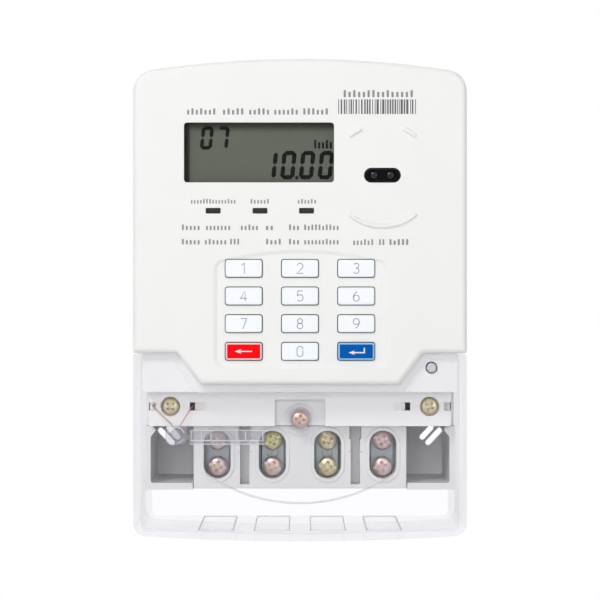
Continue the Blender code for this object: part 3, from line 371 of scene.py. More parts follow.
def join(name, pieces):
    """Several solids that stand clear of each other, as one object."""
    work = bmesh.new()
    for piece in pieces:
        copy = piece.data.copy()
        copy.transform(piece.matrix_world)
        work.from_mesh(copy)
        bpy.data.meshes.remove(copy)
        bpy.data.objects.remove(piece)
    return add(name, work)


def soften(piece, width=0.2 * MM, segments=2, angle=35):
    """Rounds the sharp edges a little and shades the piece smooth."""
    piece.data.shade_smooth()
    if width:
        bevel = piece.modifiers.new("Edges", "BEVEL")
        bevel.width = width
        bevel.segments = segments
        bevel.limit_method = "ANGLE"
        bevel.angle_limit = math.radians(angle)
        bevel.miter_outer = "MITER_ARC"
    else:
        piece.data.set_sharp_from_angle(angle=math.radians(angle))
    normals = piece.modifiers.new("Normals", "WEIGHTED_NORMAL")
    normals.keep_sharp = True
    return piece


def place(piece, body, material, replaces=()):
    """Gives a finished piece its material and its body."""
    piece.data.materials.clear()
    piece.data.materials.append(material)
    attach(piece, body)
    if replaces:
        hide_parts(*replaces)
    return piece


# ---- materials


def new_material(name):
    material = bpy.data.materials.new(name)
    material.use_nodes = True
    tree = material.node_tree
    return material, tree, tree.nodes["Principled BSDF"]


def feed(tree, node, inputs):
    """Sets inputs, by name or number, to a value or links them to another node's output."""
    for name, value in inputs.items():
        if isinstance(value, bpy.types.NodeSocket):
            tree.links.new(value, node.inputs[name])
        else:
            node.inputs[name].default_value = value
    return node


def shader(tree, kind, inputs=(), output=0, **settings):
    """One output of a new shader node with its settings and inputs."""
    node = tree.nodes.new("ShaderNode" + kind)
    for name, value in settings.items():
        setattr(node, name, value)
    return feed(tree, node, dict(inputs)).outputs[output]


def coordinates(tree, scale=(1, 1, 1)):
    """Object coordinates in metres, scaled."""
    return shader(tree, "Mapping", {"Vector": shader(tree, "TexCoord", output="Object"), "Scale": scale})


def noise(tree, vector, scale, detail=3.0, roughness=0.55):
    inputs = {"Vector": vector, "Scale": scale, "Detail": detail, "Roughness": roughness}
    return shader(tree, "TexNoise", inputs, "Fac")


def ramp(tree, value, stops):
    """Colour ramp through (position, colour) stops."""
    color = shader(tree, "ValToRGB", {"Fac": value}, "Color")
    elements = color.node.color_ramp.elements
    elements[0].position, elements[-1].position = stops[0][0], stops[-1][0]
    for position, _ in stops[1:-1]:
        elements.new(position)
    for element, (_, tint) in zip(elements, stops):
        element.color = (*tint, 1)
    return color


def spread(tree, value, low, high):
    """Maps a 0..1 value to low..high."""
    return shader(tree, "MapRange", {"Value": value, "To Min": low, "To Max": high}, "Result")


def mixed(tree, share, first, second):
    """Mix of two shaders' outputs."""
    return shader(tree, "MixShader", {0: share, 1: first, 2: second})


def bump(tree, surface, height, depth, strength=1.0):
    """Relief of a depth in millimetres."""
    inputs = {"Height": height, "Distance": depth * MM, "Strength": strength}
    feed(tree, surface, {"Normal": shader(tree, "Bump", inputs, "Normal")})


def shade(color, factor):
    return tuple(min(c * factor, 1.0) for c in color)


def plastic(name, color, roughness=0.4, grain=4000, depth=0.004, specular=0.5, variation=0.02):
    """Moulded plastic: a fine spark-eroded grain, slight cloudiness in colour and gloss."""
    material, tree, surface = new_material(name)
    vector = coordinates(tree)
    cloud = noise(tree, vector, 45, 2)
    colors = [(0.3, shade(color, 1 - variation)), (0.7, shade(color, 1 + variation))]
    inputs = {"Base Color": ramp(tree, cloud, colors), "Specular IOR Level": specular}
    inputs["Roughness"] = spread(tree, cloud, roughness - 0.05, roughness + 0.05)
    feed(tree, surface, inputs)
    bump(tree, surface, noise(tree, vector, grain, 2), depth)
    return material


def zinc(name, tints, roughness=0.32):
    """Passivated zinc: iridescent tints that drift over the metal, with fine pits."""
    material, tree, surface = new_material(name)
    vector = coordinates(tree)
    stops = [(0.32 + 0.36 * i / (len(tints) - 1), tint) for i, tint in enumerate(tints)]
    inputs = {"Base Color": ramp(tree, noise(tree, vector, 420, 2, 0.5), stops), "Metallic": 1.0}
    pits = noise(tree, vector, 2600, 4, 0.6)
    inputs["Roughness"] = spread(tree, pits, roughness - 0.12, roughness + 0.18)
    feed(tree, surface, inputs)
    bump(tree, surface, pits, 0.02, 0.5)
    return material


def brushed(name, color, roughness=0.3, stretch=(1, 1, 30), metallic=1.0):
    """Brushed or drawn metal with fine lines."""
    material, tree, surface = new_material(name)
    lines = noise(tree, coordinates(tree, stretch), 900, 3)
    colors = [(0.3, shade(color, 0.88)), (0.7, shade(color, 1.08))]
    inputs = {"Base Color": ramp(tree, lines, colors), "Metallic": metallic}
    inputs["Roughness"] = spread(tree, lines, roughness - 0.08, roughness + 0.12)
    feed(tree, surface, inputs)
    bump(tree, surface, lines, 0.01, 0.6)
    return material


def clear(name, tint, edge, gloss=0.10, ior=1.45, haze=0.0, most=1.0):
    """Clear plastic that lets light straight through and shows its surface more at a glancing angle."""
    material, tree, surface = new_material(name)
    flow = noise(tree, coordinates(tree), 60, 2)
    inputs = {"Base Color": ramp(tree, flow, [(0.2, shade(edge, 0.97)), (0.8, edge)])}
    inputs["Roughness"] = spread(tree, flow, gloss * 0.7, gloss * 1.3)
    feed(tree, surface, inputs)
    through = shader(tree, "BsdfTransparent", {"Color": (*tint, 1)})
    share = spread(tree, shader(tree, "Fresnel", {"IOR": ior}), haze, most)
    for passing in ("Is Shadow Ray", "Is Diffuse Ray"):
        ray = shader(tree, "LightPath", output=passing)
        share = shader(tree, "Math", {0: share, 1: ray}, operation="SUBTRACT", use_clamp=True)
    result = mixed(tree, share, through, surface.outputs[0])
    feed(tree, tree.nodes["Material Output"], {"Surface": result})
    return material


def lcd_material():
    """Reflective liquid crystal: grey-green, in the shade of the window's left and top edges."""
    material, tree, surface = new_material("lcd_grey_green")
    place_in_metres = shader(tree, "TexCoord", output="Object")
    split = shader(tree, "SeparateXYZ", {0: place_in_metres}).node
    left, top = WINDOW[0] - WINDOW_SIZE[0] / 2, WINDOW[1] + WINDOW_SIZE[1] / 2

    def edge(axis, dark, bright):
        inputs = {"Value": split.outputs[axis], "From Min": dark, "From Max": bright}
        return shader(tree, "MapRange", inputs, "Result", interpolation_type="SMOOTHSTEP")

    from_left = edge("X", left + 1.1 * MM, left + 2.3 * MM)
    from_top = spread(tree, edge("Z", top - 0.3 * MM, top - 3.2 * MM), 0.30, 1.0)
    lit = shader(tree, "Math", {0: from_left, 1: from_top}, operation="MULTIPLY")
    stops = [(0.0, (0.018, 0.019, 0.016)), (0.55, (0.074, 0.076, 0.061)), (1.0, (0.136, 0.139, 0.114))]
    grain = noise(tree, place_in_metres, 2500, 2)
    shades = ramp(tree, grain, [(0.3, (0.7, 0.7, 0.7)), (0.7, (1, 1, 1))])
    inputs = {"Factor": 0.12, "A": ramp(tree, lit, stops), "B": shades}
    color = shader(tree, "Mix", inputs, "Result", data_type="RGBA", blend_type="MULTIPLY")
    roughness = spread(tree, grain, 0.45, 0.6)
    feed(tree, surface, {"Base Color": color, "Roughness": roughness, "Specular IOR Level": 0.2})
    return material


def board_material():
    """Green solder mask over traces, with a slightly uneven gloss."""
    material, tree, surface = new_material("board_mask")
    vector = coordinates(tree, (1, 0, 1))
    inputs = {"Vector": vector, "Scale": 420, "Mortar Size": 0.05}
    inputs["Color1"], inputs["Color2"] = (0.010, 0.120, 0.045, 1), (0.016, 0.160, 0.060, 1)
    inputs["Mortar"] = (0.030, 0.230, 0.090, 1)
    traces = shader(tree, "TexBrick", inputs).node
    roughness = spread(tree, noise(tree, vector, 300), 0.3, 0.45)
    feed(tree, surface, {"Base Color": traces.outputs["Color"], "Roughness": roughness})
    bump(tree, surface, traces.outputs["Fac"], 0.02, 0.4)
    return material


CASE_WHITE = plastic("case_white", (0.880, 0.878, 0.868), 0.42, depth=0.003, variation=0.008)
REAR_GREY = plastic("rear_grey", (0.80, 0.80, 0.80), 0.5, 3200, 0.006, variation=0.012)
BLOCK_GREY = plastic("block_grey", (0.80, 0.80, 0.795), 0.45, 3600, 0.004, variation=0.012)
CLEAR_COVER = clear("clear_cover", (0.992, 0.990, 0.998), (0.96, 0.95, 1.0), 0.05, 1.36, 0.01, 0.32)
CLEAR_RIDGE = clear("clear_ridge", (0.93, 0.93, 0.95), (0.93, 0.92, 0.97), 0.08, 1.45, 0.15, 0.9)
WINDOW_CLEAR = clear("window_clear", (0.97, 0.98, 0.97), (0.5, 0.5, 0.5), 0.05, 1.22)
SEAL_CLEAR = clear("seal_clear", (0.88, 0.88, 0.90), (0.84, 0.84, 0.87), 0.08, 1.5, 0.12, 0.8)
SEAL_RIB = clear("seal_rib", (0.95, 0.95, 0.96), (0.95, 0.95, 0.97), 0.10, 1.5, 0.5, 1.0)
KEY_WHITE = plastic("key_white", (0.93, 0.955, 0.985), 0.35, 5000, 0.002, variation=0.006)
KEY_RED = plastic("key_red", (0.92, 0.004, 0.008), 0.4, 5000, 0.002, 0.06)
KEY_RED_RIM = plastic("key_red_rim", (0.88, 0.60, 0.60), 0.35, 5000, 0.002)
KEY_BLUE = plastic("key_blue", (0.001, 0.100, 0.42), 0.4, 5000, 0.002, 0.06)
KEY_BLUE_RIM = plastic("key_blue_rim", (0.30, 0.55, 0.85), 0.35, 5000, 0.002)
# The key skirt is a real part; its near-black colour is painted shade that darkens the gap round each key cap.
KEY_SKIRT_GAP_SHADE = plastic("key_skirt_gap_shade", (0.10, 0.105, 0.115), 0.6, 3000, 0.004)
KEY_PRINT = plastic("key_print", (0.36, 0.37, 0.42), 0.5, 5000, 0.001)
PALE_PRINT = plastic("pale_print", (0.80, 0.80, 0.84), 0.5, 5000, 0.001)
CASE_PRINT = plastic("case_print", (0.26, 0.26, 0.27), 0.55, 5000, 0.001)
BAR_PRINT = plastic("bar_print", (0.12, 0.12, 0.12), 0.55, 5000, 0.001)
LCD_INK = plastic("lcd_ink", (0.004, 0.005, 0.005), 0.5, 5000, 0.001, 0.05)
LENS_BLACK = plastic("lens_black", (0.006, 0.005, 0.006), 0.12, 2000, 0.001, 0.3)
LED_BLACK = plastic("led_black", (0.012, 0.010, 0.011), 0.15, 2500, 0.002, 0.45)
LAMP_DARK = plastic("lamp_dark", (0.030, 0.022, 0.018), 0.25, 2500, 0.004)
RUBBER_BLACK = plastic("rubber_black", (0.03, 0.03, 0.03), 0.75, 2200, 0.008)
RUBBER_GREY = plastic("rubber_grey", (0.42, 0.43, 0.45), 0.65, 2200, 0.008)
ACETAL = plastic("acetal_white", (0.62, 0.62, 0.66), 0.3, 3500, 0.003)
PART_BLACK = plastic("component_black", (0.02, 0.02, 0.022), 0.4, 2600, 0.008)
PART_BLUE = plastic("component_blue", (0.02, 0.10, 0.24), 0.35, 2600, 0.006)
SLEEVE_BLUE = plastic("sleeve_blue", (0.02, 0.03, 0.10), 0.3, 1500, 0.004)
SLEEVE_GREEN = plastic("sleeve_green", (0.12, 0.32, 0.18), 0.3, 1500, 0.004)
LCD_SURFACE = lcd_material()
BOARD_MASK = board_material()
YELLOW_ZINC = zinc("yellow_zinc", [(0.95, 0.86, 0.60), (0.90, 0.82, 0.56), (0.93, 0.80, 0.76)])
ROSE_ZINC = zinc("rose_zinc", [(0.95, 0.84, 0.66), (0.94, 0.74, 0.72), (0.88, 0.80, 0.90)])
GREEN_ZINC = zinc("green_zinc", [(0.93, 0.88, 0.54), (0.84, 0.84, 0.48), (0.94, 0.84, 0.64)])
COVER_ZINC = zinc("cover_zinc", [(0.93, 0.64, 0.58), (0.95, 0.74, 0.66), (0.88, 0.76, 0.80)])
PLATED = brushed("plated_terminal", (0.80, 0.89, 0.95), 0.42, (20, 1, 1), 0.55)
COPPER = brushed("bare_copper", (0.78, 0.42, 0.28), 0.30)
WIRE_COPPER = brushed("seal_copper", (0.62, 0.30, 0.22), 0.35, (8, 8, 8))
SHEET_STEEL = brushed("sheet_steel", (0.62, 0.63, 0.65), 0.34, (12, 1, 1))


# ---- case


def case_section(bottom_z, gap=0.0):
    """Whole section of the case down to a bottom height, inset by a gap."""
    low_x = LOWER_HALF_WIDTH - gap
    side = [(low_x, bottom_z), (low_x, STEP_Z + gap), (HALF_WIDTH - gap, STEP_Z + gap)]
    return without_repeats(side + crown(gap) + mirrored(side))


def inner_crown():
    """Crown of the hollow inside the case, a wall's thickness in."""
    return case_section(-41 * MM, WALL)[3:-3]


def rear_shell():
    """Rear case with rounded back edges, the terminal seat, the side pockets and their slots."""
    outline = case_section(CASE_BOTTOM_Z)
    rings = [at_depth(inset(outline, 0.8 * MM), 0), at_depth(inset(outline, 0.25 * MM), -0.25 * MM)]
    rings += [at_depth(outline, -0.8 * MM), at_depth(outline, RIM_Y)]
    shell = loft("rear_shell", rings)
    walls = []
    for side in (-1, 1):
        wall = rectangle(*sorted(mm(side * 36.61, side * 53.29)), CASE_BOTTOM_Z + 0.01 * MM, BLOCK_TOP_Z)
        walls.append(tool(wall, RIM_Y + 1 * MM, BLOCK_FRONT_Y))
    fuse(shell, *walls)
    seat, low_x, top_x = 36.9 * MM, LOWER_HALF_WIDTH - WALL, HALF_WIDTH - WALL
    pocket = [(seat, CASE_BOTTOM_Z - 1 * MM, 0), (seat, -62.9 * MM, 0)]
    pocket += [mm(51.4, -62.91, 1.0), mm(51.4, -47, 0.6), mm(49.7, -45, 0.6), mm(49.7, -43.3, 0)]
    pocket += [(seat, -43.31 * MM, 0), (seat, -41 * MM, 0), (low_x, -41.01 * MM, 1.0 * MM)]
    pocket += [(low_x, STEP_Z + WALL, 0), (top_x, STEP_Z + WALL, 0)]
    inner_top = [(x, z, 0) for x, z in inner_crown()]
    left = [(-x, z, r) for x, z, r in reversed(pocket)]
    cut(shell, tool(filleted(pocket + inner_top + left), -WALL, BLOCK_FRONT_Y - 1 * MM))
    gasket_seat = case_section(BAR_BOTTOM_Z + 1.5 * MM, 1.0 * MM)
    cut(shell, tool(gasket_seat, RIM_Y + 1.5 * MM, RIM_Y - 0.5 * MM))
    pad = tool(rounded(mm(0, 58.75), mm(26, 41.5), 1 * MM), -WALL + 0.5 * MM, -4.8 * MM)
    screws_at = [(side * CASE_SCREW[0], CASE_SCREW[1]) for side in (-1, 1)]
    bosses = [disc(at, BOSS_RADIUS, 32, -WALL + 0.5 * MM, RIM_Y + 0.5 * MM) for at in screws_at]
    fuse(shell, pad, *bosses)
    lips = tool(rectangle(*mm(-8.5, 8.5, 42, 83)), 1 * MM, -1.5 * MM)
    channel = tool(rectangle(*mm(-10.3, 10.3, 42, 83)), -0.7 * MM, -2.3 * MM)
    pilots = [disc(at, CASE_SCREW_HOLE, 24, -12 * MM, RIM_Y - 1 * MM) for at in screws_at]
    cut(shell, lips, channel, *pilots, *mounting_slots(), *back_ribs())
    soften(shell, 0.15 * MM)
    place(shell, ROOT, REAR_GREY, ["rear_case"])


def mounting_slots():
    """Cutters for the slanted pairs of slots in the side pockets."""
    turn = Matrix.Rotation(math.radians(-43), 2)
    cutters = []
    for foot, length in ((mm(43.6, -50.3), 6.5 * MM), (mm(45.7, -52.3), 8.0 * MM)):
        straight = rounded((0, length / 2), (2.1 * MM, length), 1.04 * MM, 8)
        outline = [tuple(Vector(foot) + turn @ Vector(point)) for point in straight]
        cutters += [tool(shape, 1 * MM, -WALL - 1 * MM) for shape in (outline, mirrored(outline))]
    return cutters


def back_ribs():
    """Shallow moulded panels in the back face, as cutters."""
    places = [(x, z) for x in mm(-33, 33) for z in mm(52, 14, -22)]
    return [tool(rounded(at, mm(30, 30), 3 * MM), 1 * MM, -0.5 * MM) for at in places]


def keypad_outline():
    """Recess round the keys with its arched upper edge, counter-clockwise."""
    half, bottom, top, peak = 29.5 * MM, -23.2 * MM, 14.1 * MM, 17.0 * MM
    radius = 4 * MM
    rise = peak - top
    arch = ((half - radius) ** 2 + rise**2) / (2 * rise)
    lean = math.degrees(math.asin((half - radius) / arch))
    right = arc((half - radius, bottom + radius), radius, -90, 0, 10)
    right += arc((half - radius, top - radius), radius, 0, 90 - lean * 0.5, 10)
    middle = arc((0, peak - arch), arch, 90 - lean, 90 + lean, 24)[1:-1]
    outline = without_repeats(right + middle + mirrored(right))
    return [(x + 0.3 * MM, z) for x, z in outline]


def keypad_recess():
    """Cutter with a soft slope down to the keypad floor."""
    outline = keypad_outline()
    slope, steps = 1.7 * MM, 8
    rings = [at_depth(outline, FACE_Y - 1 * MM)]
    for i in range(steps + 1):
        t = i / steps
        depth = (KEYPAD_FLOOR_Y - FACE_Y) * (3 * t * t - 2 * t**3)
        rings.append(at_depth(inset(outline, slope * t), FACE_Y + depth))
    return loft("recess", rings)


def key_nodes():
    return [name for name in NODES if name.startswith("key_")]


def front_shell():
    """Front cover: rounded face with its openings, shoulders, flange bar and screw seats."""
    shell = loft("front_shell", dome_rings(face_outline, COVER_BACK_Y, FACE_Y, 1.9 * MM, 8))
    step_top = STEP_Z + 1.0 * MM
    corners = [mm(-53, -31, 0.8), mm(53, -31, 0.8), (53 * MM, step_top, 0), (-53 * MM, step_top, 0)]
    shoulder = filleted(corners)
    bar = tool(rounded(mm(0, -36.8), mm(103, 12.4), 0.8 * MM), COVER_BACK_Y + 0.02 * MM, BAR_Y)
    fuse(shell, tool(shoulder, COVER_BACK_Y + 0.01 * MM, SHOULDER_Y), bar)
    low_x, side_x = mm(49.3, 50.8)
    low_side = [(low_x, BAR_BOTTOM_Z + 2 * MM), (low_x, -31 * MM), (side_x, -31.01 * MM)]
    step = [(side_x, STEP_Z + WALL), (HALF_WIDTH - WALL, STEP_Z + WALL + 0.01 * MM)]
    top = inner_crown()
    deep_face = [mm(32.3, -26.2), (40.4 * MM, STEP_Z + WALL)] + step[1:]
    hollows = []
    for side, y_from, y_to in (
        (low_side + step, COVER_BACK_Y + 1 * MM, BAR_Y + WALL),
        ([(side_x, -28.8 * MM)] + step, BAR_Y + WALL + 0.5 * MM, SHOULDER_Y + WALL),
        (deep_face, SHOULDER_Y + WALL + 0.5 * MM, FACE_BACK_Y),
    ):
        hollows.append(tool(without_repeats(side + top + mirrored(side)), y_from, y_to))
    cut(shell, *hollows)
    screws_at = [(side * CASE_SCREW[0], CASE_SCREW[1]) for side in (-1, 1)]
    behind_bar = (COVER_BACK_Y + 0.03 * MM, BAR_Y + 1 * MM)
    walls = tool(rectangle(-10.6 * MM, 10.6 * MM, BAR_BOTTOM_Z + 0.01 * MM, -32 * MM), *behind_bar)
    fuse(shell, walls, *(disc(at, BOSS_RADIUS, 32, *behind_bar) for at in screws_at))
    deep, through = BAR_Y - 1 * MM, COVER_BACK_Y + 1 * MM
    cutters = [keypad_recess(), tool(rounded(mm(0, -38.95), mm(17.2, 10.1), 0.5 * MM), -42 * MM, deep)]
    cutters.append(disc((0, COVER_SCREW_Z), COVER_SCREW_HOLE, 32, through, deep))
    for side, screw in zip((-1, 1), screws_at):
        cutters.append(disc(screw, 3.35 * MM, 48, -43.5 * MM, deep))
        cutters.append(disc(screw, CASE_SCREW_HOLE, 32, through, -43 * MM))
        outer = (side * 51.05 * MM, -36.3 * MM)
        cutters.append(tool(rounded(outer, mm(3.9, 2.8), 0.3 * MM), -40 * MM, deep))
        cutters.append(wire_groove(side))
    cutters.append(disc(TAMPER, 2.05 * MM, 40, -51 * MM, SHOULDER_Y - 1 * MM))
    cut(shell, *cutters)
    cut(shell, *face_openings())
    soften(shell, 0.14 * MM)
    place(shell, ROOT, CASE_WHITE, ["front_cover"])
    board_stakes()


def face_openings():
    """Cutters for the window, the port, the lamps and the keys, with the rebates behind them."""
    through = (FACE_Y - 1 * MM, FACE_BACK_Y + 1 * MM)
    cutters = [
        tool(rounded(WINDOW, WINDOW_SIZE, 1.1 * MM), *through),
        tool(rounded(PORT, PORT_SIZE, PORT_SIZE[1] / 2 - 1e-6, 12), *through),
    ]
    for at, size, wider, radius, steps, front_y in (
        (WINDOW, WINDOW_SIZE, 2.2 * MM, 1 * MM, 2, FACE_Y + 1.2 * MM),
        (PORT, PORT_SIZE, 1.6 * MM, 3.2 * MM, 8, FACE_Y + 1.21 * MM),
    ):
        rebate = rounded(at, (size[0] + wider, size[1] + wider), radius, steps)
        cutters.append(tool(rebate, front_y, FACE_BACK_Y + 0.8 * MM))
    for lamp in LAMPS:
        cutters.append(tool(rounded((centre_of(lamp).x, LAMP_Z), mm(5.0, 1.9), 0.3 * MM, 4), *through))
    for node in key_nodes():
        outline = rounded(front_of(node), KEY_HOLE_SIZE, 1.0 * MM, 5)
        cutters.append(tool(outline, KEYPAD_FLOOR_Y - 2 * MM, FACE_BACK_Y + 0.6 * MM))
    return cutters


def wire_groove(side):
    """Cutter for a groove in the flange bar: it dips towards the screw and ends in a slot right through."""
    shallow, start, end = mm(31.9, 35.9, 37.6)
    front, deep = BAR_Y - 1 * MM, BAR_Y + WALL + 1.3 * MM
    profile = [(shallow, front), (end, front), (end, deep), (start, deep)]
    profile += [(start, BAR_Y + 1.7 * MM), (shallow, BAR_Y + 0.15 * MM)]
    return loft("groove", [[(side * x, y, z) for x, y in profile] for z in mm(-37.7, -34.9)])


def board_stakes():
    """Posts and pins that hold the board behind the face."""
    profile = [mm(0, 9), mm(3, 9), mm(3, 0), mm(1.2, 0), mm(1.2, -2.3), mm(0, -2.6)]
    places = [(x, -47.3 * MM, z) for x in mm(-47, 47) for z in mm(68, -9)]
    stakes = [turned("stake", profile, 24, at) for at in places]
    place(soften(join("board_stakes", stakes), 0.1 * MM), ROOT, CASE_WHITE)


def port_ridges():
    """Rounded ridges round the optical port that centre a reading head."""
    ridges = []
    reach, height, half = mm(17.1, 1.1, 0.85)
    for start, end, steps in ((-90 - 41.5, -90 + 41.5, 40), (114, 131, 8), (49, 66, 8)):
        rings = []
        for i in range(steps + 1):
            angle = math.radians(start + (end - start) * i / steps)
            taper = min(1.0, 0.85 + 3.0 * min(i, steps - i) / steps)
            spoke = Vector((math.cos(angle), 0, math.sin(angle)))
            middle = Vector((PORT[0], FACE_Y + 0.1 * MM, PORT[1])) + spoke * reach
            ring = []
            for k in range(9):
                turn = math.pi * k / 8
                lift = Vector((0, -1, 0)) * math.sin(turn) * height * taper
                ring.append(middle + spoke * math.cos(turn) * half * max(taper, 0.6) + lift)
            rings.append(ring)
        ridges.append(loft("ridge", rings))
    ridge = join("port_ridges", ridges)
    place(soften(ridge, 0.12 * MM, 2, 50), ROOT, CASE_WHITE)


# ---- printing


def printed(name, outlines, body, material, y=None):
    """Thin printed marks that stand a hair proud of the face."""
    y = FACE_Y if y is None else y
    marks = [tool(outline, y + 0.05 * MM, y - 0.03 * MM) for outline in outlines]
    piece = join(name, marks)
    piece.data.shade_smooth()
    piece.data.set_sharp_from_angle(angle=math.radians(40))
    place(piece, body, material)
    return piece


def word(x, z, width, height):
    """One printed word stood for by a row of plain ticks."""
    pitch = height * 0.66
    count = max(2, round(width / pitch))
    pitch = width / count
    ticks = []
    for i in range(count):
        tall = height * (1.0 if rng.random() < 0.3 else 0.76)
        middle = (x + pitch * (i + 0.5), z + tall / 2)
        ticks.append(rounded(middle, (pitch * 0.48, tall), pitch * 0.14, 2))
    return ticks


def case_printing():
    """Rows of ticks where the case is labelled, and a plain bar pattern."""
    rows = (
        (62.1, 2.1, ((-38.2, 10.2), (-26.2, 7.6), (-17.4, 7.4), (-9.0, 8.6), (0.7, 9.0))),
        (32.3, 1.55, ((-36.8, 15.4), (-16.8, 6.6), (-1.0, 6.6))),
        (23.4, 1.9, ((-39.9, 6.6), (-31.8, 8.7), (-20.1, 6.3), (-11.8, 3.1), (-4.0, 4.0), (1.1, 12.1))),
        (18.6, 1.9, ((-39.9, 6.6), (-32.2, 7.8), (-23.7, 3.6), (-11.7, 5.6), (-4.0, 4.0), (1.1, 12.1))),
        (18.4, 2.0, ((17.5, 7.3), (26.2, 2.3), (29.6, 7.0))),
    )
    ticks = []
    for z, height, words in rows:
        for x, width in words:
            ticks += word(x * MM, z * MM, width * MM, height * MM)
    printed("case_printing", ticks, ROOT, CASE_PRINT)
    numbers = word(14.2 * MM, 67.9 * MM, 24.0 * MM, 2.4 * MM)
    printed("number_ticks", numbers, ROOT, CASE_PRINT)
    bars, x = [], 12.8 * MM
    while x < 39.0 * MM:
        width = rng.choice((0.28, 0.28, 0.5, 0.75)) * MM
        bars.append(rectangle(x, x + width, 62.3 * MM, 67.2 * MM))
        x += width + rng.choice((0.32, 0.32, 0.55)) * MM
    printed("bar_pattern", bars, ROOT, BAR_PRINT)


# ---- keys


def digit_strokes(digit):
    """Strokes of a digit in a box one high and 0.62 wide, centred on x."""
    w = 0.29
    lower = arc((0, 0.29), w, 90, 450, 28)
    tail = arc((0.36, 0.33), 0.65, 184, 116, 12)
    six = [lower, tail]
    strokes = {
        "0": [rounded((0, 0.5), (0.58, 1.0), 0.289, 8) + [(0.29, 0.6)]],
        "1": [[(-0.2, 0.78), (0.06, 1.0), (0.06, 0.0)]],
        "2": [arc((0, 0.72), 0.28, 165, -38, 16) + [(-0.29, 0.0), (0.31, 0.0)]],
        "3": [arc((0, 0.76), 0.24, 155, -90, 16) + arc((0, 0.26), 0.26, 90, -155, 18)],
        "4": [[(0.14, 0.0), (0.14, 1.0), (-0.31, 0.27), (0.31, 0.27)]],
        "5": [[(0.26, 1.0), (-0.2, 1.0), (-0.25, 0.5)], arc((-0.01, 0.32), 0.31, 142, -140, 20)],
        "6": six,
        "7": [[(-0.29, 1.0), (0.29, 1.0), (-0.08, 0.0)]],
        "8": [arc((0, 0.76), 0.235, 90, 450, 24), arc((0, 0.27), 0.27, 90, 450, 26)],
        "9": [[(-x, 1 - z) for x, z in stroke] for stroke in six],
    }
    return strokes[digit]


def ribbon(points, half_width):
    """Outline of a stroke of one width along points."""
    left, right = [], []
    for i, point in enumerate(points):
        here = Vector(point)
        before = Vector(points[max(i - 1, 0)])
        after = Vector(points[min(i + 1, len(points) - 1)])
        a = (here - before) if i else (after - here)
        b = (after - here) if i < len(points) - 1 else a
        a, b = a.normalized(), b.normalized()
        normal = Vector((-a.y, a.x)) + Vector((-b.y, b.x))
        share = max(normal.length_squared / 2, 0.45)
        normal = normal * (half_width / share)
        left.append(tuple(here + normal))
        right.append(tuple(here - normal))
    return right + left[::-1]


def arrow(centre, length, head, shaft, riser=0.0):
    """Outline of a left arrow, with a riser at its right end for an enter key."""
    x0, x1 = centre[0] - length / 2, centre[0] + length / 2
    z = centre[1]
    points = [(x0, z), (x0 + head * 1.5, z - head / 2), (x0 + head * 1.2, z - shaft / 2)]
    points += [(x1, z - shaft / 2)]
    if riser:
        points += [(x1, z + riser), (x1 - shaft, z + riser), (x1 - shaft, z + shaft / 2)]
    else:
        points += [(x1, z + shaft / 2)]
    return points + [(x0 + head * 1.2, z + shaft / 2), (x0 + head * 1.5, z + head / 2)]


def key_piece(node):
    """Cap with a soft edge and a skirt whose near-black colour is painted shade for the gap round the cap, its
    retaining flange, and its printed mark.
    """
    label = node.removeprefix("key_")
    at = front_of(node)
    front_y, back_y = span(node, 1)
    coloured = {"backspace": (KEY_RED, KEY_RED_RIM, "key_red"), "enter": (KEY_BLUE, KEY_BLUE_RIM, "key_blue")}
    face, rim, slot = coloured.get(label, (KEY_WHITE, KEY_WHITE, "key_white"))
    outline = rounded(at, KEY_SIZE, 0.8 * MM, 6)
    cap = loft(f"cap_{label}", dome_rings(outline, front_y + 1.25 * MM, front_y, 0.5 * MM, 5))
    place(soften(cap, 0, angle=50), node, rim, [node])
    flange_y = FACE_BACK_Y + 0.3 * MM
    skirt = prism(f"skirt_{label}", inset(outline, 0.02 * MM), front_y + 1.25 * MM, flange_y + 0.4 * MM)
    flange = tool(rounded(at, KEY_FLANGE_SIZE, 0.6 * MM), flange_y, flange_y + 0.8 * MM)
    fuse(skirt, flange, disc(at, 2 * MM, 32, flange_y + 0.5 * MM, back_y))
    # The skirt, flange and plunger are real parts; their near-black colour is painted shade for the gap round
    # the cap.
    place(soften(skirt, 0.1 * MM), node, KEY_SKIRT_GAP_SHADE)
    proud = front_y
    if label in coloured:
        proud = front_y - 0.03 * MM
        rings = dome_rings(inset(outline, 0.55 * MM), front_y + 0.3 * MM, proud, 0.06 * MM, 2)
        place(soften(loft(f"panel_{label}", rings), 0, angle=50), node, face)
    if label == "backspace":
        marks = [arrow((at[0] - 0.1 * MM, at[1]), *mm(5.8, 1.5, 0.32))]
    elif label == "enter":
        marks = [arrow((at[0] + 0.1 * MM, at[1] - 0.4 * MM), *mm(5.6, 1.5, 0.45, 1.6))]
    else:
        height = 3.45 * MM
        low_z = at[1] - height / 2
        marks = [
            ribbon([(at[0] + x * height, low_z + z * height) for x, z in stroke], 0.15 * MM)
            for stroke in digit_strokes(label)
        ]
    ink = PALE_PRINT if label in coloured else KEY_PRINT
    printed(f"mark_{label}", marks, node, ink, proud)


# ---- display and port


def segment(start, end, width):
    """Outline of one display segment: a bar with mitred ends."""
    a, b = Vector(start), Vector(end)
    along = (b - a).normalized()
    across = Vector((-along.y, along.x)) * (width / 2)
    tip = along * (width / 2)
    a, b = a - tip * 0.45, b + tip * 0.45
    return [tuple(p) for p in (a, a + tip - across, b - tip - across, b, b - tip + across, a + tip + across)]


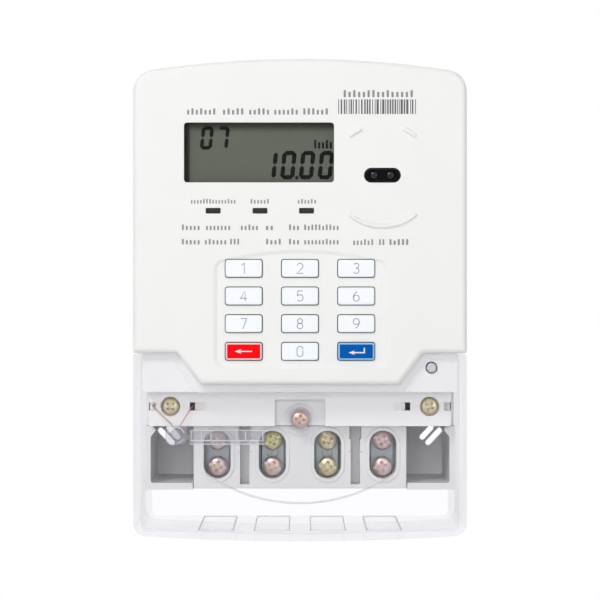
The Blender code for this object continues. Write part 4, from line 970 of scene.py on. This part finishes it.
def seven_segment(shown, x, z, width, height, thick):
    """Outlines of the lit segments of a digit whose lower left corner is at (x, z)."""
    lean = math.tan(math.radians(6))
    half, gap = thick / 2, thick * 0.06
    right, high = width - half, height - half
    above, below = height / 2 + thick * 0.3, height / 2 - thick * 0.3
    bars = {
        "a": ((half + gap, high), (right - gap, high)),
        "b": ((right, high - gap), (right, above)),
        "c": ((right, below), (right, half + gap)),
        "d": ((half + gap, half), (right - gap, half)),
        "e": ((half, below), (half, half + gap)),
        "f": ((half, high - gap), (half, above)),
    }
    lit = {"0": "abcdef", "1": "bc", "7": "abc"}[shown]
    return [[(x + u + v * lean, z + v) for u, v in segment(*bars[name], thick)] for name in lit]


def display():
    """Liquid crystal panel with its shown figures, behind the clear window."""
    node = "lcd_panel"
    low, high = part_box(node)
    outline = rounded(WINDOW, (high[0] - low[0], high[2] - low[2]), 0.5 * MM)
    panel = loft("lcd_glass", dome_rings(outline, high[1], low[1], 0.15 * MM, 2))
    place(soften(panel, 0), ROOT, LCD_SURFACE, [node])
    figures = []
    for i, shown in enumerate("07"):
        figures += seven_segment(shown, (-33.8 + 5.35 * i) * MM, 50.6 * MM, 4.1 * MM, 7.9 * MM, 1.25 * MM)
    for i, shown in enumerate("1000"):
        figures += seven_segment(shown, (-13.1 + 6.3 * i) * MM, 40.6 * MM, 4.8 * MM, 9.6 * MM, 1.45 * MM)
    figures.append(rounded(mm(-1.05, 41.2), mm(1.0, 1.0), 0.2 * MM, 3))
    for i, tall in enumerate((2.9, 2.1, 2.1, 2.9, 2.1)):
        left = (4.8 + 1.3 * i) * MM
        figures.append(rectangle(left, left + 0.7 * MM, 51.0 * MM, (51.0 + tall) * MM))
    printed("lcd_figures", figures, ROOT, LCD_INK, low[1])


def optical_port():
    """Dark window of the port with two lens domes sunk in it."""
    front_y, back_y = FACE_Y + 0.3 * MM, FACE_Y + 1.5 * MM
    outline = rounded(PORT, (PORT_SIZE[0] - 0.3 * MM, PORT_SIZE[1] - 0.3 * MM), 2.2 * MM, 14)
    flange = rounded(PORT, mm(13.4, 6.0), 2.9 * MM, 14)
    rings = [at_depth(flange, FACE_Y + 2.9 * MM), at_depth(flange, back_y)]
    pane = loft("port_pane", rings + dome_rings(outline, back_y, front_y, 0.45 * MM, 5))
    eyes = [PORT[0] - LENS_OFFSET, PORT[0] + LENS_OFFSET]
    cut(pane, *(disc((x, PORT[1]), 1.75 * MM, 36, front_y - 1 * MM, front_y + 0.9 * MM) for x in eyes))
    place(soften(pane, 0.08 * MM), ROOT, LENS_BLACK, ["optical_window"])
    radius, height = mm(1.5, 0.75)
    profile = [(0, height)]
    for angle in range(15, 91, 15):
        turn = math.radians(angle)
        profile.append((radius * math.sin(turn), height * math.cos(turn)))
    profile += [(radius, -0.2 * MM), (0, -0.2 * MM)]
    domes = [turned("dome", profile, 36, (x, front_y + 0.8 * MM, PORT[1])) for x in eyes]
    place(soften(join("port_lenses", domes), 0, angle=60), ROOT, LED_BLACK)


def signal_lamps():
    """Light guides with a soft front edge."""
    for node in LAMPS:
        front_y, back_y = span(node, 1)
        outline = rounded(front_of(node), mm(4.6, 1.55), 0.25 * MM, 4)
        guide = loft(f"{node}_guide", dome_rings(outline, back_y, front_y, 0.2 * MM, 4))
        place(soften(guide, 0), ROOT, LAMP_DARK, [node])


# ---- terminals and screws


def terminal_block():
    """Insulating block with raised rims round its wells, barrier slots and wire entries."""
    low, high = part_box("terminal_block")
    half, back_y, rim_y = high[0], high[1], low[1]
    front_y, ahead, ledge_y = rim_y + 0.4 * MM, rim_y - 1 * MM, RIM_Y + 1.5 * MM
    corners = [(-half, low[2]), (half, low[2]), (half, BLOCK_TOP_Z), (-half, BLOCK_TOP_Z)]
    outline = filleted([(x, z, 0.5 * MM) for x, z in corners])
    body = loft("block_shell", dome_rings(outline, back_y, front_y, 0.3 * MM, 3))
    rim_size = (WELL_SIZE[0] + 2.6 * MM, WELL_SIZE[1] + 2.6 * MM)
    rims = []
    for x in WELL_XS:
        outline = rounded((x, WELL_Z), rim_size, rim_size[0] / 2 - 1e-5, 14)
        rims.append(loft("rim", dome_rings(outline, front_y + 1 * MM, rim_y, 0.35 * MM, 4)))
    ledge = rectangle(-half + 0.01 * MM, half - 0.01 * MM, -43.8 * MM, -41.3 * MM)
    tongue = tool(rectangle(*mm(-6, 6, -43.7, -36.5)), -18 * MM, ledge_y - 0.01 * MM)
    fuse(body, tool(ledge, back_y - 0.01 * MM, ledge_y), tongue, *rims)
    cutters = []
    for x in WELL_XS:
        outline = rounded((x, WELL_Z), WELL_SIZE, WELL_SIZE[0] / 2 - 1e-5, 14)
        cutters.append(tool(outline, -28 * MM, ahead))
        cavity = rectangle(x - 5.5 * MM, x + 5.5 * MM, *mm(-62.5, -44.5))
        cutters.append(tool(cavity, back_y + 1 * MM, -28.8 * MM))
        blade = rectangle(x - 3.3 * MM, x + 3.3 * MM, *mm(-45, -40))
        cutters.append(tool(blade, back_y + 1.2 * MM, -16.5 * MM))
        entry = disc((0, 0), 4.3 * MM, 40, -2.5 * MM, 2.5 * MM)
        cutters.append(upright(entry, x, TUNNEL_Y, -63.5 * MM))
    narrow, wide = mm(1.6, 2.05)
    for x in mm(-19, 19):
        right = [(narrow, -63.4), (narrow, -47.8), (wide, -47.79), (wide, -42.5)]
        outline = [(x + u, z * MM) for u, z in right] + [(x - u, z * MM) for u, z in reversed(right)]
        cutters.append(tool(outline, -32.5 * MM, ahead))
        notch = rectangle(x - 2.5 * MM, x + 2.5 * MM, *mm(-52.6, -51.8))
        cutters.append(tool(notch, front_y + 0.6 * MM, ahead))
    cutters.append(disc((0, COVER_SCREW_Z), COVER_SCREW_HOLE, 32, -24.5 * MM, ledge_y - 1 * MM))
    cut(body, *cutters)
    place(soften(body, 0.12 * MM), ROOT, BLOCK_GREY, ["terminal_block"])
    for index, x in enumerate(WELL_XS):
        plated_terminal(index + 1, x)


def plated_terminal(number, x):
    """Plated terminal with countersunk screw holes, its wire tunnel and blade."""
    node = f"terminal_{number}"
    front_y, back_y = span(node, 1)
    ahead = front_y - 1 * MM
    outline = rounded((x, -53.5 * MM), mm(10.4, 17.4), 0.4 * MM)
    metal = prism(f"terminal_metal_{number}", outline, back_y, front_y)
    fuse(metal, tool(rounded((x, -39.25 * MM), mm(6, 12.5), 0.5 * MM), back_y - 0.01 * MM, -16.2 * MM))
    cutters = [upright(disc((0, 0), 4 * MM, 48, -8.6 * MM, 8.6 * MM), x, TUNNEL_Y, -54.6 * MM)]
    for z in SCREW_ZS:
        cutters.append(disc((x, z), 2.6 * MM, 40, -20 * MM, ahead))
        rings = [(2.55 * MM, front_y + 0.5 * MM), (3.6 * MM, front_y - 0.5 * MM)]
        cutters.append(loft("countersink", [at_depth(circle((x, z), radius, 40), y) for radius, y in rings]))
    for side in (-1, 1):
        edge = rectangle(*sorted((x + side * 3.75 * MM, x + side * 6 * MM)), *mm(-63, -44))
        cutters.append(tool(edge, front_y + 3 * MM, ahead))
    cut(metal, *cutters)
    place(soften(metal, 0.12 * MM), ROOT, PLATED, [node])


def screw_profile(radius, height, shank, length):
    """Half section of a pan-head screw with a threaded shank."""
    profile = [(0, height)]
    for t in range(8, 73, 8):
        swell = math.radians(t)
        profile.append((radius * 0.93 * math.sin(swell), height * (0.42 + 0.58 * math.cos(swell) ** 0.8)))
    profile += [(radius * 0.97, height * 0.42), (radius, height * 0.34), (radius, height * 0.06)]
    core = shank * 0.84
    profile += [(radius * 0.97, 0), (core, 0)]
    pitch = 0.8 * MM if shank > 2 * MM else 0.5 * MM
    ahead = -0.6 * MM
    while ahead > -length + 2 * pitch:
        profile += [(core, ahead), (shank, ahead - pitch * 0.45), (shank, ahead - pitch * 0.55)]
        ahead -= pitch
    return profile + [(core, ahead), (shank * 0.7, -length + 0.3 * MM), (shank * 0.55, -length), (0, -length)]


def screw_piece(node, sizes, recess, slotted, material, turn):
    """Pan-head screw with a cross recess. Its sizes are the head's radius and height, and the shank's radius."""
    radius, height, _ = sizes
    front_y, back_y = span(node, 1)
    piece = turned(f"{node}_fine", screw_profile(*sizes, back_y - front_y - height), 40)
    long, wide = recess
    rings = []
    for ahead, share in ((height * 0.25, 0.45), (height + 0.6 * MM, 1.12)):
        half_long, half_wide = long * share / 2, wide / 2 * (0.55 + 0.45 * share)
        rings.append(at_depth(rectangle(-half_long, half_long, -half_wide, half_wide), -ahead))
    cutters = [loft("recess", rings), loft("recess", rings)]
    cutters[1].data.transform(Matrix.Rotation(math.pi / 2, 4, "Y"))
    if slotted:
        groove = rectangle(-radius * 1.1, radius * 1.1, -0.45 * MM, 0.45 * MM)
        cutters.append(tool(groove, -height * 0.62, -height - 1 * MM))
    cut(piece, *cutters)
    x, z = front_of(node)
    move = Matrix.Translation((x, front_y + height, z))
    piece.data.transform(move @ Matrix.Rotation(math.radians(turn), 4, "Y"))
    place(soften(piece, 0.06 * MM, 2, 40), node, material, [node])


def screws():
    """All the screws, each with its own turn and tint."""
    tints = (ROSE_ZINC, ROSE_ZINC, GREEN_ZINC, ROSE_ZINC, YELLOW_ZINC, YELLOW_ZINC, ROSE_ZINC, ROSE_ZINC)
    turns = (38, 12, -28, 24, 62, 8, 20, -12)
    names = [f"terminal_{i}_{end}_screw" for i in (1, 2, 3, 4) for end in ("upper", "lower")]
    for node, tint, turn in zip(names, tints, turns):
        screw_piece(node, mm(3.4, 2.4, 2.3), mm(4.4, 1.1), True, tint, turn)
    for node, turn in (("case_screw_left", 45), ("case_screw_right", 30)):
        screw_piece(node, mm(3.0, 2.2, 1.4), mm(3.9, 1.0), False, YELLOW_ZINC, turn)
    screw_piece("cover_screw", mm(3.0, 2.2, 1.5), mm(3.9, 1.0), False, COVER_ZINC, 8)


# ---- clear cover and seal


def clear_cover():
    """Clear terminal cover with its lipped upper edge, screw well, arc step and knock-outs."""
    body = "terminal_cover"
    shell = loft("clear_shell", dome_rings(clear_outline, CLEAR_BACK_Y, CLEAR_FRONT_Y, 1.2 * MM, 6))
    inner = [mm(-53.6, -78.1, 2.4), mm(53.6, -78.1, 2.4), mm(53.6, 0, 0), mm(-53.6, 0, 0)]
    lip_y = SHOULDER_Y - 0.3 * MM
    rings = dome_rings(clear_outline, lip_y + 0.2 * MM, CLEAR_FRONT_Y + 2.2 * MM, 0.5 * MM, 4, 2.4 * MM)
    cut(shell, tool(filleted(inner, 8), CLEAR_BACK_Y + 1 * MM, lip_y), loft("front_hollow", rings))
    centre, well_back = (0, COVER_SCREW_Z), -42.3 * MM
    fuse(shell, disc(centre, 5.4 * MM, 64, well_back, CLEAR_FRONT_Y + 1 * MM))
    cutters = [
        disc(centre, 4.0 * MM, 64, well_back - 1.5 * MM, CLEAR_FRONT_Y - 1 * MM),
        disc(centre, COVER_SCREW_HOLE, 40, well_back + 1 * MM, well_back - 2 * MM),
    ]
    for x in WELL_XS:
        flap = tool(rounded((0, 0), mm(10.6, 44), 1.2 * MM), -0.4 * MM, 1.0 * MM)
        cutters.append(upright(flap, x, -24 * MM, -78.5 * MM))
    cut(shell, *cutters)
    place(soften(shell, 0.12 * MM), body, CLEAR_COVER, ["terminal_cover"])
    step_arc(body)
    knock_out_rims(body)


def knock_out_rims(body):
    """Fine raised rims round the knock-outs in the clear cover's bottom wall."""
    heights = mm(-78.2, -77.7)
    front_y, back_y, half = mm(-50, -6, 5.7)
    rims = []
    for x in WELL_XS:
        for side in (-1, 1):
            edge = sorted((x + side * half, x + side * (half + 0.35 * MM)))
            rims.append(tool(rectangle(*edge, *heights), back_y, front_y))
        rims.append(tool(rectangle(x - half, x + half, *heights), back_y + 0.6 * MM, back_y + 0.2 * MM))
    place(soften(join("knock_out_rims", rims), 0.05 * MM), body, CLEAR_RIDGE)


def step_arc(body):
    """Low arc-shaped step moulded in the inside of the clear cover's front wall."""
    rings = []
    radius, depth = 55.6 * MM, CLEAR_FRONT_Y + 2.1 * MM
    centre = Vector((0, depth, -68.3 * MM + radius))
    sweep = math.degrees(math.asin(31.5 / 55.6))
    for i in range(41):
        angle = math.radians(-90 - sweep + 2 * sweep * i / 40)
        spoke = Vector((math.cos(angle), 0, math.sin(angle)))
        ring = []
        for u, v in ((-0.35, 0), (-0.25, 0.45), (0, 0.6), (0.25, 0.45), (0.35, 0)):
            ring.append(centre + spoke * (radius + u * MM) + Vector((0, v * MM, 0)))
        rings.append(ring)
    arc_piece = loft("cover_arc", rings)
    place(soften(arc_piece, 0, angle=70), body, CLEAR_RIDGE)


def strand(points, radius, sides=8):
    """A closed tube through points."""
    rings = []
    up = Vector((0, 1, 0.2)).normalized()
    for i, point in enumerate(points):
        along = (points[min(i + 1, len(points) - 1)] - points[max(i - 1, 0)]).normalized()
        side = along.cross(up).normalized()
        other = along.cross(side).normalized()
        ring = []
        for k in range(sides):
            turn = math.tau * k / sides
            ring.append(point + side * (radius * math.cos(turn)) + other * (radius * math.sin(turn)))
        rings.append(ring)
    return loft("strand", rings)


def smooth_route(route, steps):
    """Points of a smooth curve through a route's own points."""
    points = []
    padded = [route[0]] + list(route) + [route[-1]]
    for i in range(1, len(padded) - 2):
        p0, p1, p2, p3 = (Vector(p) for p in padded[i - 1 : i + 3])
        square, cube = 2 * p0 - 5 * p1 + 4 * p2 - p3, 3 * p1 - p0 - 3 * p2 + p3
        for k in range(steps):
            t = k / steps
            points.append(0.5 * ((2 * p1) + (p2 - p0) * t + square * t * t + cube * t**3))
    return points + [Vector(route[-1])]


def seal():
    """Clear sealing body with its rotor, its flag, and the twisted copper wire."""
    low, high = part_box("seal_body")
    middle = mm(-42, -46)
    corners = ((-1, -1, 2.2), (1, -1, 2.2), (1, 1, 1.0), (-1, 1, 1.0))
    outline = [(middle[0] + u * 3.6 * MM, middle[1] + v * 3.2 * MM, radius * MM) for u, v, radius in corners]
    body = loft("seal_shell", dome_rings(filleted(outline), high[1], low[1], 0.5 * MM, 4))
    flag_back, flag_front = mm(-48.4, -49.4)
    flag_at = mm(-24.7, -46.6)
    flag = tool(rounded(flag_at, mm(25.6, 5.2), 0.7 * MM), flag_back, flag_front)
    neck = rectangle(*mm(-39, -37, -47.4, -45.8))
    fuse(body, flag, tool(neck, flag_back - 0.01 * MM, flag_front + 0.01 * MM))
    groove = rounded(flag_at, mm(24.0, 3.6), 0.4 * MM)
    eye = (middle[0], middle[1] + 0.3 * MM)
    bore = disc(eye, 2.3 * MM, 40, low[1] + 0.7 * MM, low[1] - 1 * MM)
    cut(body, tool(groove, flag_front + 0.3 * MM, flag_front - 1 * MM), bore)
    place(soften(body, 0.1 * MM), ROOT, SEAL_CLEAR, ["seal_body"])
    profile = [mm(0, 0.5), mm(1.2, 0.5), mm(1.2, 0.1), mm(2, 0.1), mm(2, -0.1), mm(0, -0.1)]
    rotor = turned("seal_rotor", profile, 36, (eye[0], low[1] + 0.55 * MM, eye[1]))
    place(soften(rotor, 0.06 * MM), ROOT, SEAL_CLEAR)
    seal_ribs(middle, low[1], flag_front)
    seal_wire()


def seal_ribs(middle, body_y, flag_y):
    """Raised rims of the seal's cap and flag."""
    outlines = []
    for z in (-44.2, -47.7, -48.9):
        outlines.append((rectangle(*mm(-37.2, -12.2, z - 0.15, z + 0.15)), flag_y))
    for x in (-36.8, -33.4, -30.2, -21.6, -18.4, -12.6):
        outlines.append((rectangle(*mm(x - 0.15, x + 0.15, -47.4, -44.5)), flag_y))
    for radius, start, end in ((3.1, 20, 160), (2.7, 200, 250), (2.7, 285, 335)):
        band = arc(middle, radius * MM, start, end, 16) + arc(middle, (radius - 0.35) * MM, end, start, 16)
        outlines.append((band, body_y))
    ribs = [tool(outline, y, y - 0.3 * MM) for outline, y in outlines]
    place(soften(join("seal_ribs", ribs), 0.04 * MM), ROOT, SEAL_RIB)


def seal_wire():
    """Two strands of copper twisted round each other along the wire's route."""
    front_y, back_y = -46.7, -41.5
    route = [
        (-43.4, -49.0, -42.5),
        (-46.2, -48.0, -39.9),
        (-49.4, front_y, -36.9),
        (-50.2, -46.0, -36.3),
        (-50.2, back_y, -36.1),
        (-48.75, back_y, -35.4),
        (-48.75, back_y, -31.6),
        (-47.0, back_y, -29.8),
        (-41.2, back_y, -29.8),
        (-38.4, back_y, -31.8),
        (-36.6, back_y, -36.0),
        (-36.6, -46.0, -36.3),
        (-37.2, front_y, -36.9),
        (-38.8, -48.0, -39.5),
        (-40.6, -49.0, -42.5),
    ]
    line = smooth_route([tuple(c * MM for c in point) for point in route], 14)
    strands = []
    for phase in (0, math.pi):
        points = []
        travelled = 0.0
        for i, point in enumerate(line):
            travelled += (point - line[i - 1]).length if i else 0
            turn = travelled / (1.5 * MM) * math.tau + phase
            points.append(point + Vector((math.cos(turn), 0.4 * math.sin(turn), math.sin(turn))) * 0.11 * MM)
        strands.append(strand(points, 0.115 * MM))
    wire = join("seal_strands", strands)
    wire.data.shade_smooth()
    place(wire, ROOT, WIRE_COPPER, ["seal_wire"])


# ---- nodes kept from the CAD


def keep_nodes():
    """Materials and fine edges, with their widths in millimetres, for the CAD nodes that stay."""
    kept = (
        (RUBBER_BLACK, {"case_gasket": 0.15}),
        (RUBBER_GREY, {"keypad_mat": 0.3}),
        (SHEET_STEEL, {"wall_hanger": 0.15, "optical_plate": 0.15, "cover_screw_washer": 0.12}),
        (WINDOW_CLEAR, {"display_window": 0.1}),
        (CASE_WHITE, {"lcd_holder": 0.3}),
        (LED_BLACK, {"ir_emitter": 0.02, "ir_receiver": 0.02}),
        (BOARD_MASK, {"main_board": 0.1}),
        (PART_BLACK, {"supply_transformer": 0.3, "buzzer": 0.4, "tamper_switch": 0.2, "latching_relay": 0.4}),
        (PART_BLUE, {"current_transformer": 0.5}),
        (SLEEVE_BLUE, {"smoothing_capacitor": 0.5}),
        (SLEEVE_GREEN, {"backup_battery": 0.6}),
        (ACETAL, {"tamper_plunger": 0.1}),
        (COPPER, {"current_shunt": 0.2, "live_outlet_bar": 0.2, "neutral_bar": 0.2}),
    )
    for material, widths in kept:
        for name, width in widths.items():
            node = NODES[name]
            node.data.materials.clear()
            node.data.materials.append(material)
            node.modifiers.new("Weld", "WELD").merge_threshold = 1e-6
            bevel = node.modifiers.new("Edges", "BEVEL")
            bevel.width = width * MM
            bevel.segments = 3
            bevel.limit_method = "ANGLE"
            bevel.angle_limit = math.radians(50)
            node.modifiers.new("Normals", "WEIGHTED_NORMAL").keep_sharp = True


# ---- stage


def area_light(name, location, target, size, power, mirrors=True):
    light = bpy.data.lights.new(name, "AREA")
    light.shape = "RECTANGLE"
    light.size, light.size_y = size
    light.energy = power
    lamp = bpy.data.objects.new(name, light)
    lamp.visible_glossy = mirrors
    lamp.location = location
    lamp.rotation_euler = (Vector(target) - Vector(location)).to_track_quat("-Z", "Y").to_euler()
    bpy.context.scene.collection.objects.link(lamp)


def surroundings():
    """Even white world: darker below, with a dark patch ahead that keeps flat black glass dark."""
    world = bpy.data.worlds.new("studio")
    bpy.context.scene.world = world
    world.use_nodes = True
    tree = world.node_tree
    split = shader(tree, "SeparateXYZ", {0: shader(tree, "TexCoord", output="Generated")}).node

    def sweep(axis, low, high, shades):
        """Shades of white along a direction of the surroundings."""
        inputs = {"Value": split.outputs[axis], "From Min": low, "From Max": high}
        along = shader(tree, "MapRange", inputs, "Result")
        return ramp(tree, along, [(at, (value,) * 3) for at, value in shades])

    down_to_up = [(0.0, 0.2), (0.5, 0.6), (1.0, 1.0)]
    front_to_side = [(0.0, 0.08), (0.012, 0.12), (0.03, 0.95), (0.30, 0.90), (0.44, 0.30), (0.70, 0.9)]
    front_to_side.append((1.0, 1.0))
    inputs = {"Color": sweep("Z", -1.0, 1.0, down_to_up), "Strength": 0.48}
    result = feed(tree, tree.nodes["Background"], inputs).outputs[0]
    reflected = shader(tree, "Background", {"Color": sweep("Y", -1.0, 0.25, front_to_side)})
    seen = shader(tree, "Background", {"Color": (1, 1, 1, 1), "Strength": 1.0})
    for rays, other in (("Is Glossy Ray", reflected), ("Is Camera Ray", seen)):
        result = mixed(tree, shader(tree, "LightPath", output=rays), result, other)
    feed(tree, tree.nodes["World Output"], {"Surface": result})


def pale_floor():
    """White floor just below the meter, of the surroundings' white where the camera sees it."""
    floor = prism("floor", circle((0, 0), 3.0, 64), -1 * MM, 0)
    upright(floor, 0, 0, BOTTOM_Z - 0.3 * MM)
    material, tree, surface = new_material("floor_white")
    feed(tree, surface, {"Base Color": (0.9, 0.9, 0.9, 1), "Roughness": 0.9})
    glow = shader(tree, "Emission", {"Strength": 1.0})
    result = mixed(tree, shader(tree, "LightPath", output="Is Camera Ray"), surface.outputs[0], glow)
    feed(tree, tree.nodes["Material Output"], {"Surface": result})
    floor.data.materials.append(material)


def stage():
    """Pale floor, even white surroundings, soft lights and the camera."""
    scene = bpy.context.scene
    scene.view_settings.view_transform = "Standard"
    surroundings()
    pale_floor()
    area_light("key", (-0.55, -1.0, 0.85), (0, -0.03, 0), (0.35, 0.35), 5.2)
    area_light("front", (-0.15, -1.75, 0.2), (0, -0.03, -0.02), (0.8, 0.8), 9.4, mirrors=False)
    area_light("fill", (0.9, -1.2, 0.2), (0, -0.03, 0), (0.8, 1.2), 1.2)
    area_light("back", (0.0, 1.2, 0.9), (0, 0, 0), (1.2, 0.8), 4.0)
    camera = bpy.data.cameras.new("camera")
    camera.sensor_width = 36
    camera.lens = CAMERA_LENS
    camera.clip_start = 0.01
    eye = bpy.data.objects.new("camera", camera)
    eye.location = (0, FACE_Y - CAMERA_DISTANCE, 0)
    eye.rotation_euler = (math.pi / 2, 0, 0)
    scene.collection.objects.link(eye)
    scene.camera = eye


rear_shell()
front_shell()
port_ridges()
case_printing()
for key in key_nodes():
    key_piece(key)
display()
optical_port()
signal_lamps()
terminal_block()
screws()
clear_cover()
seal()
keep_nodes()
stage()
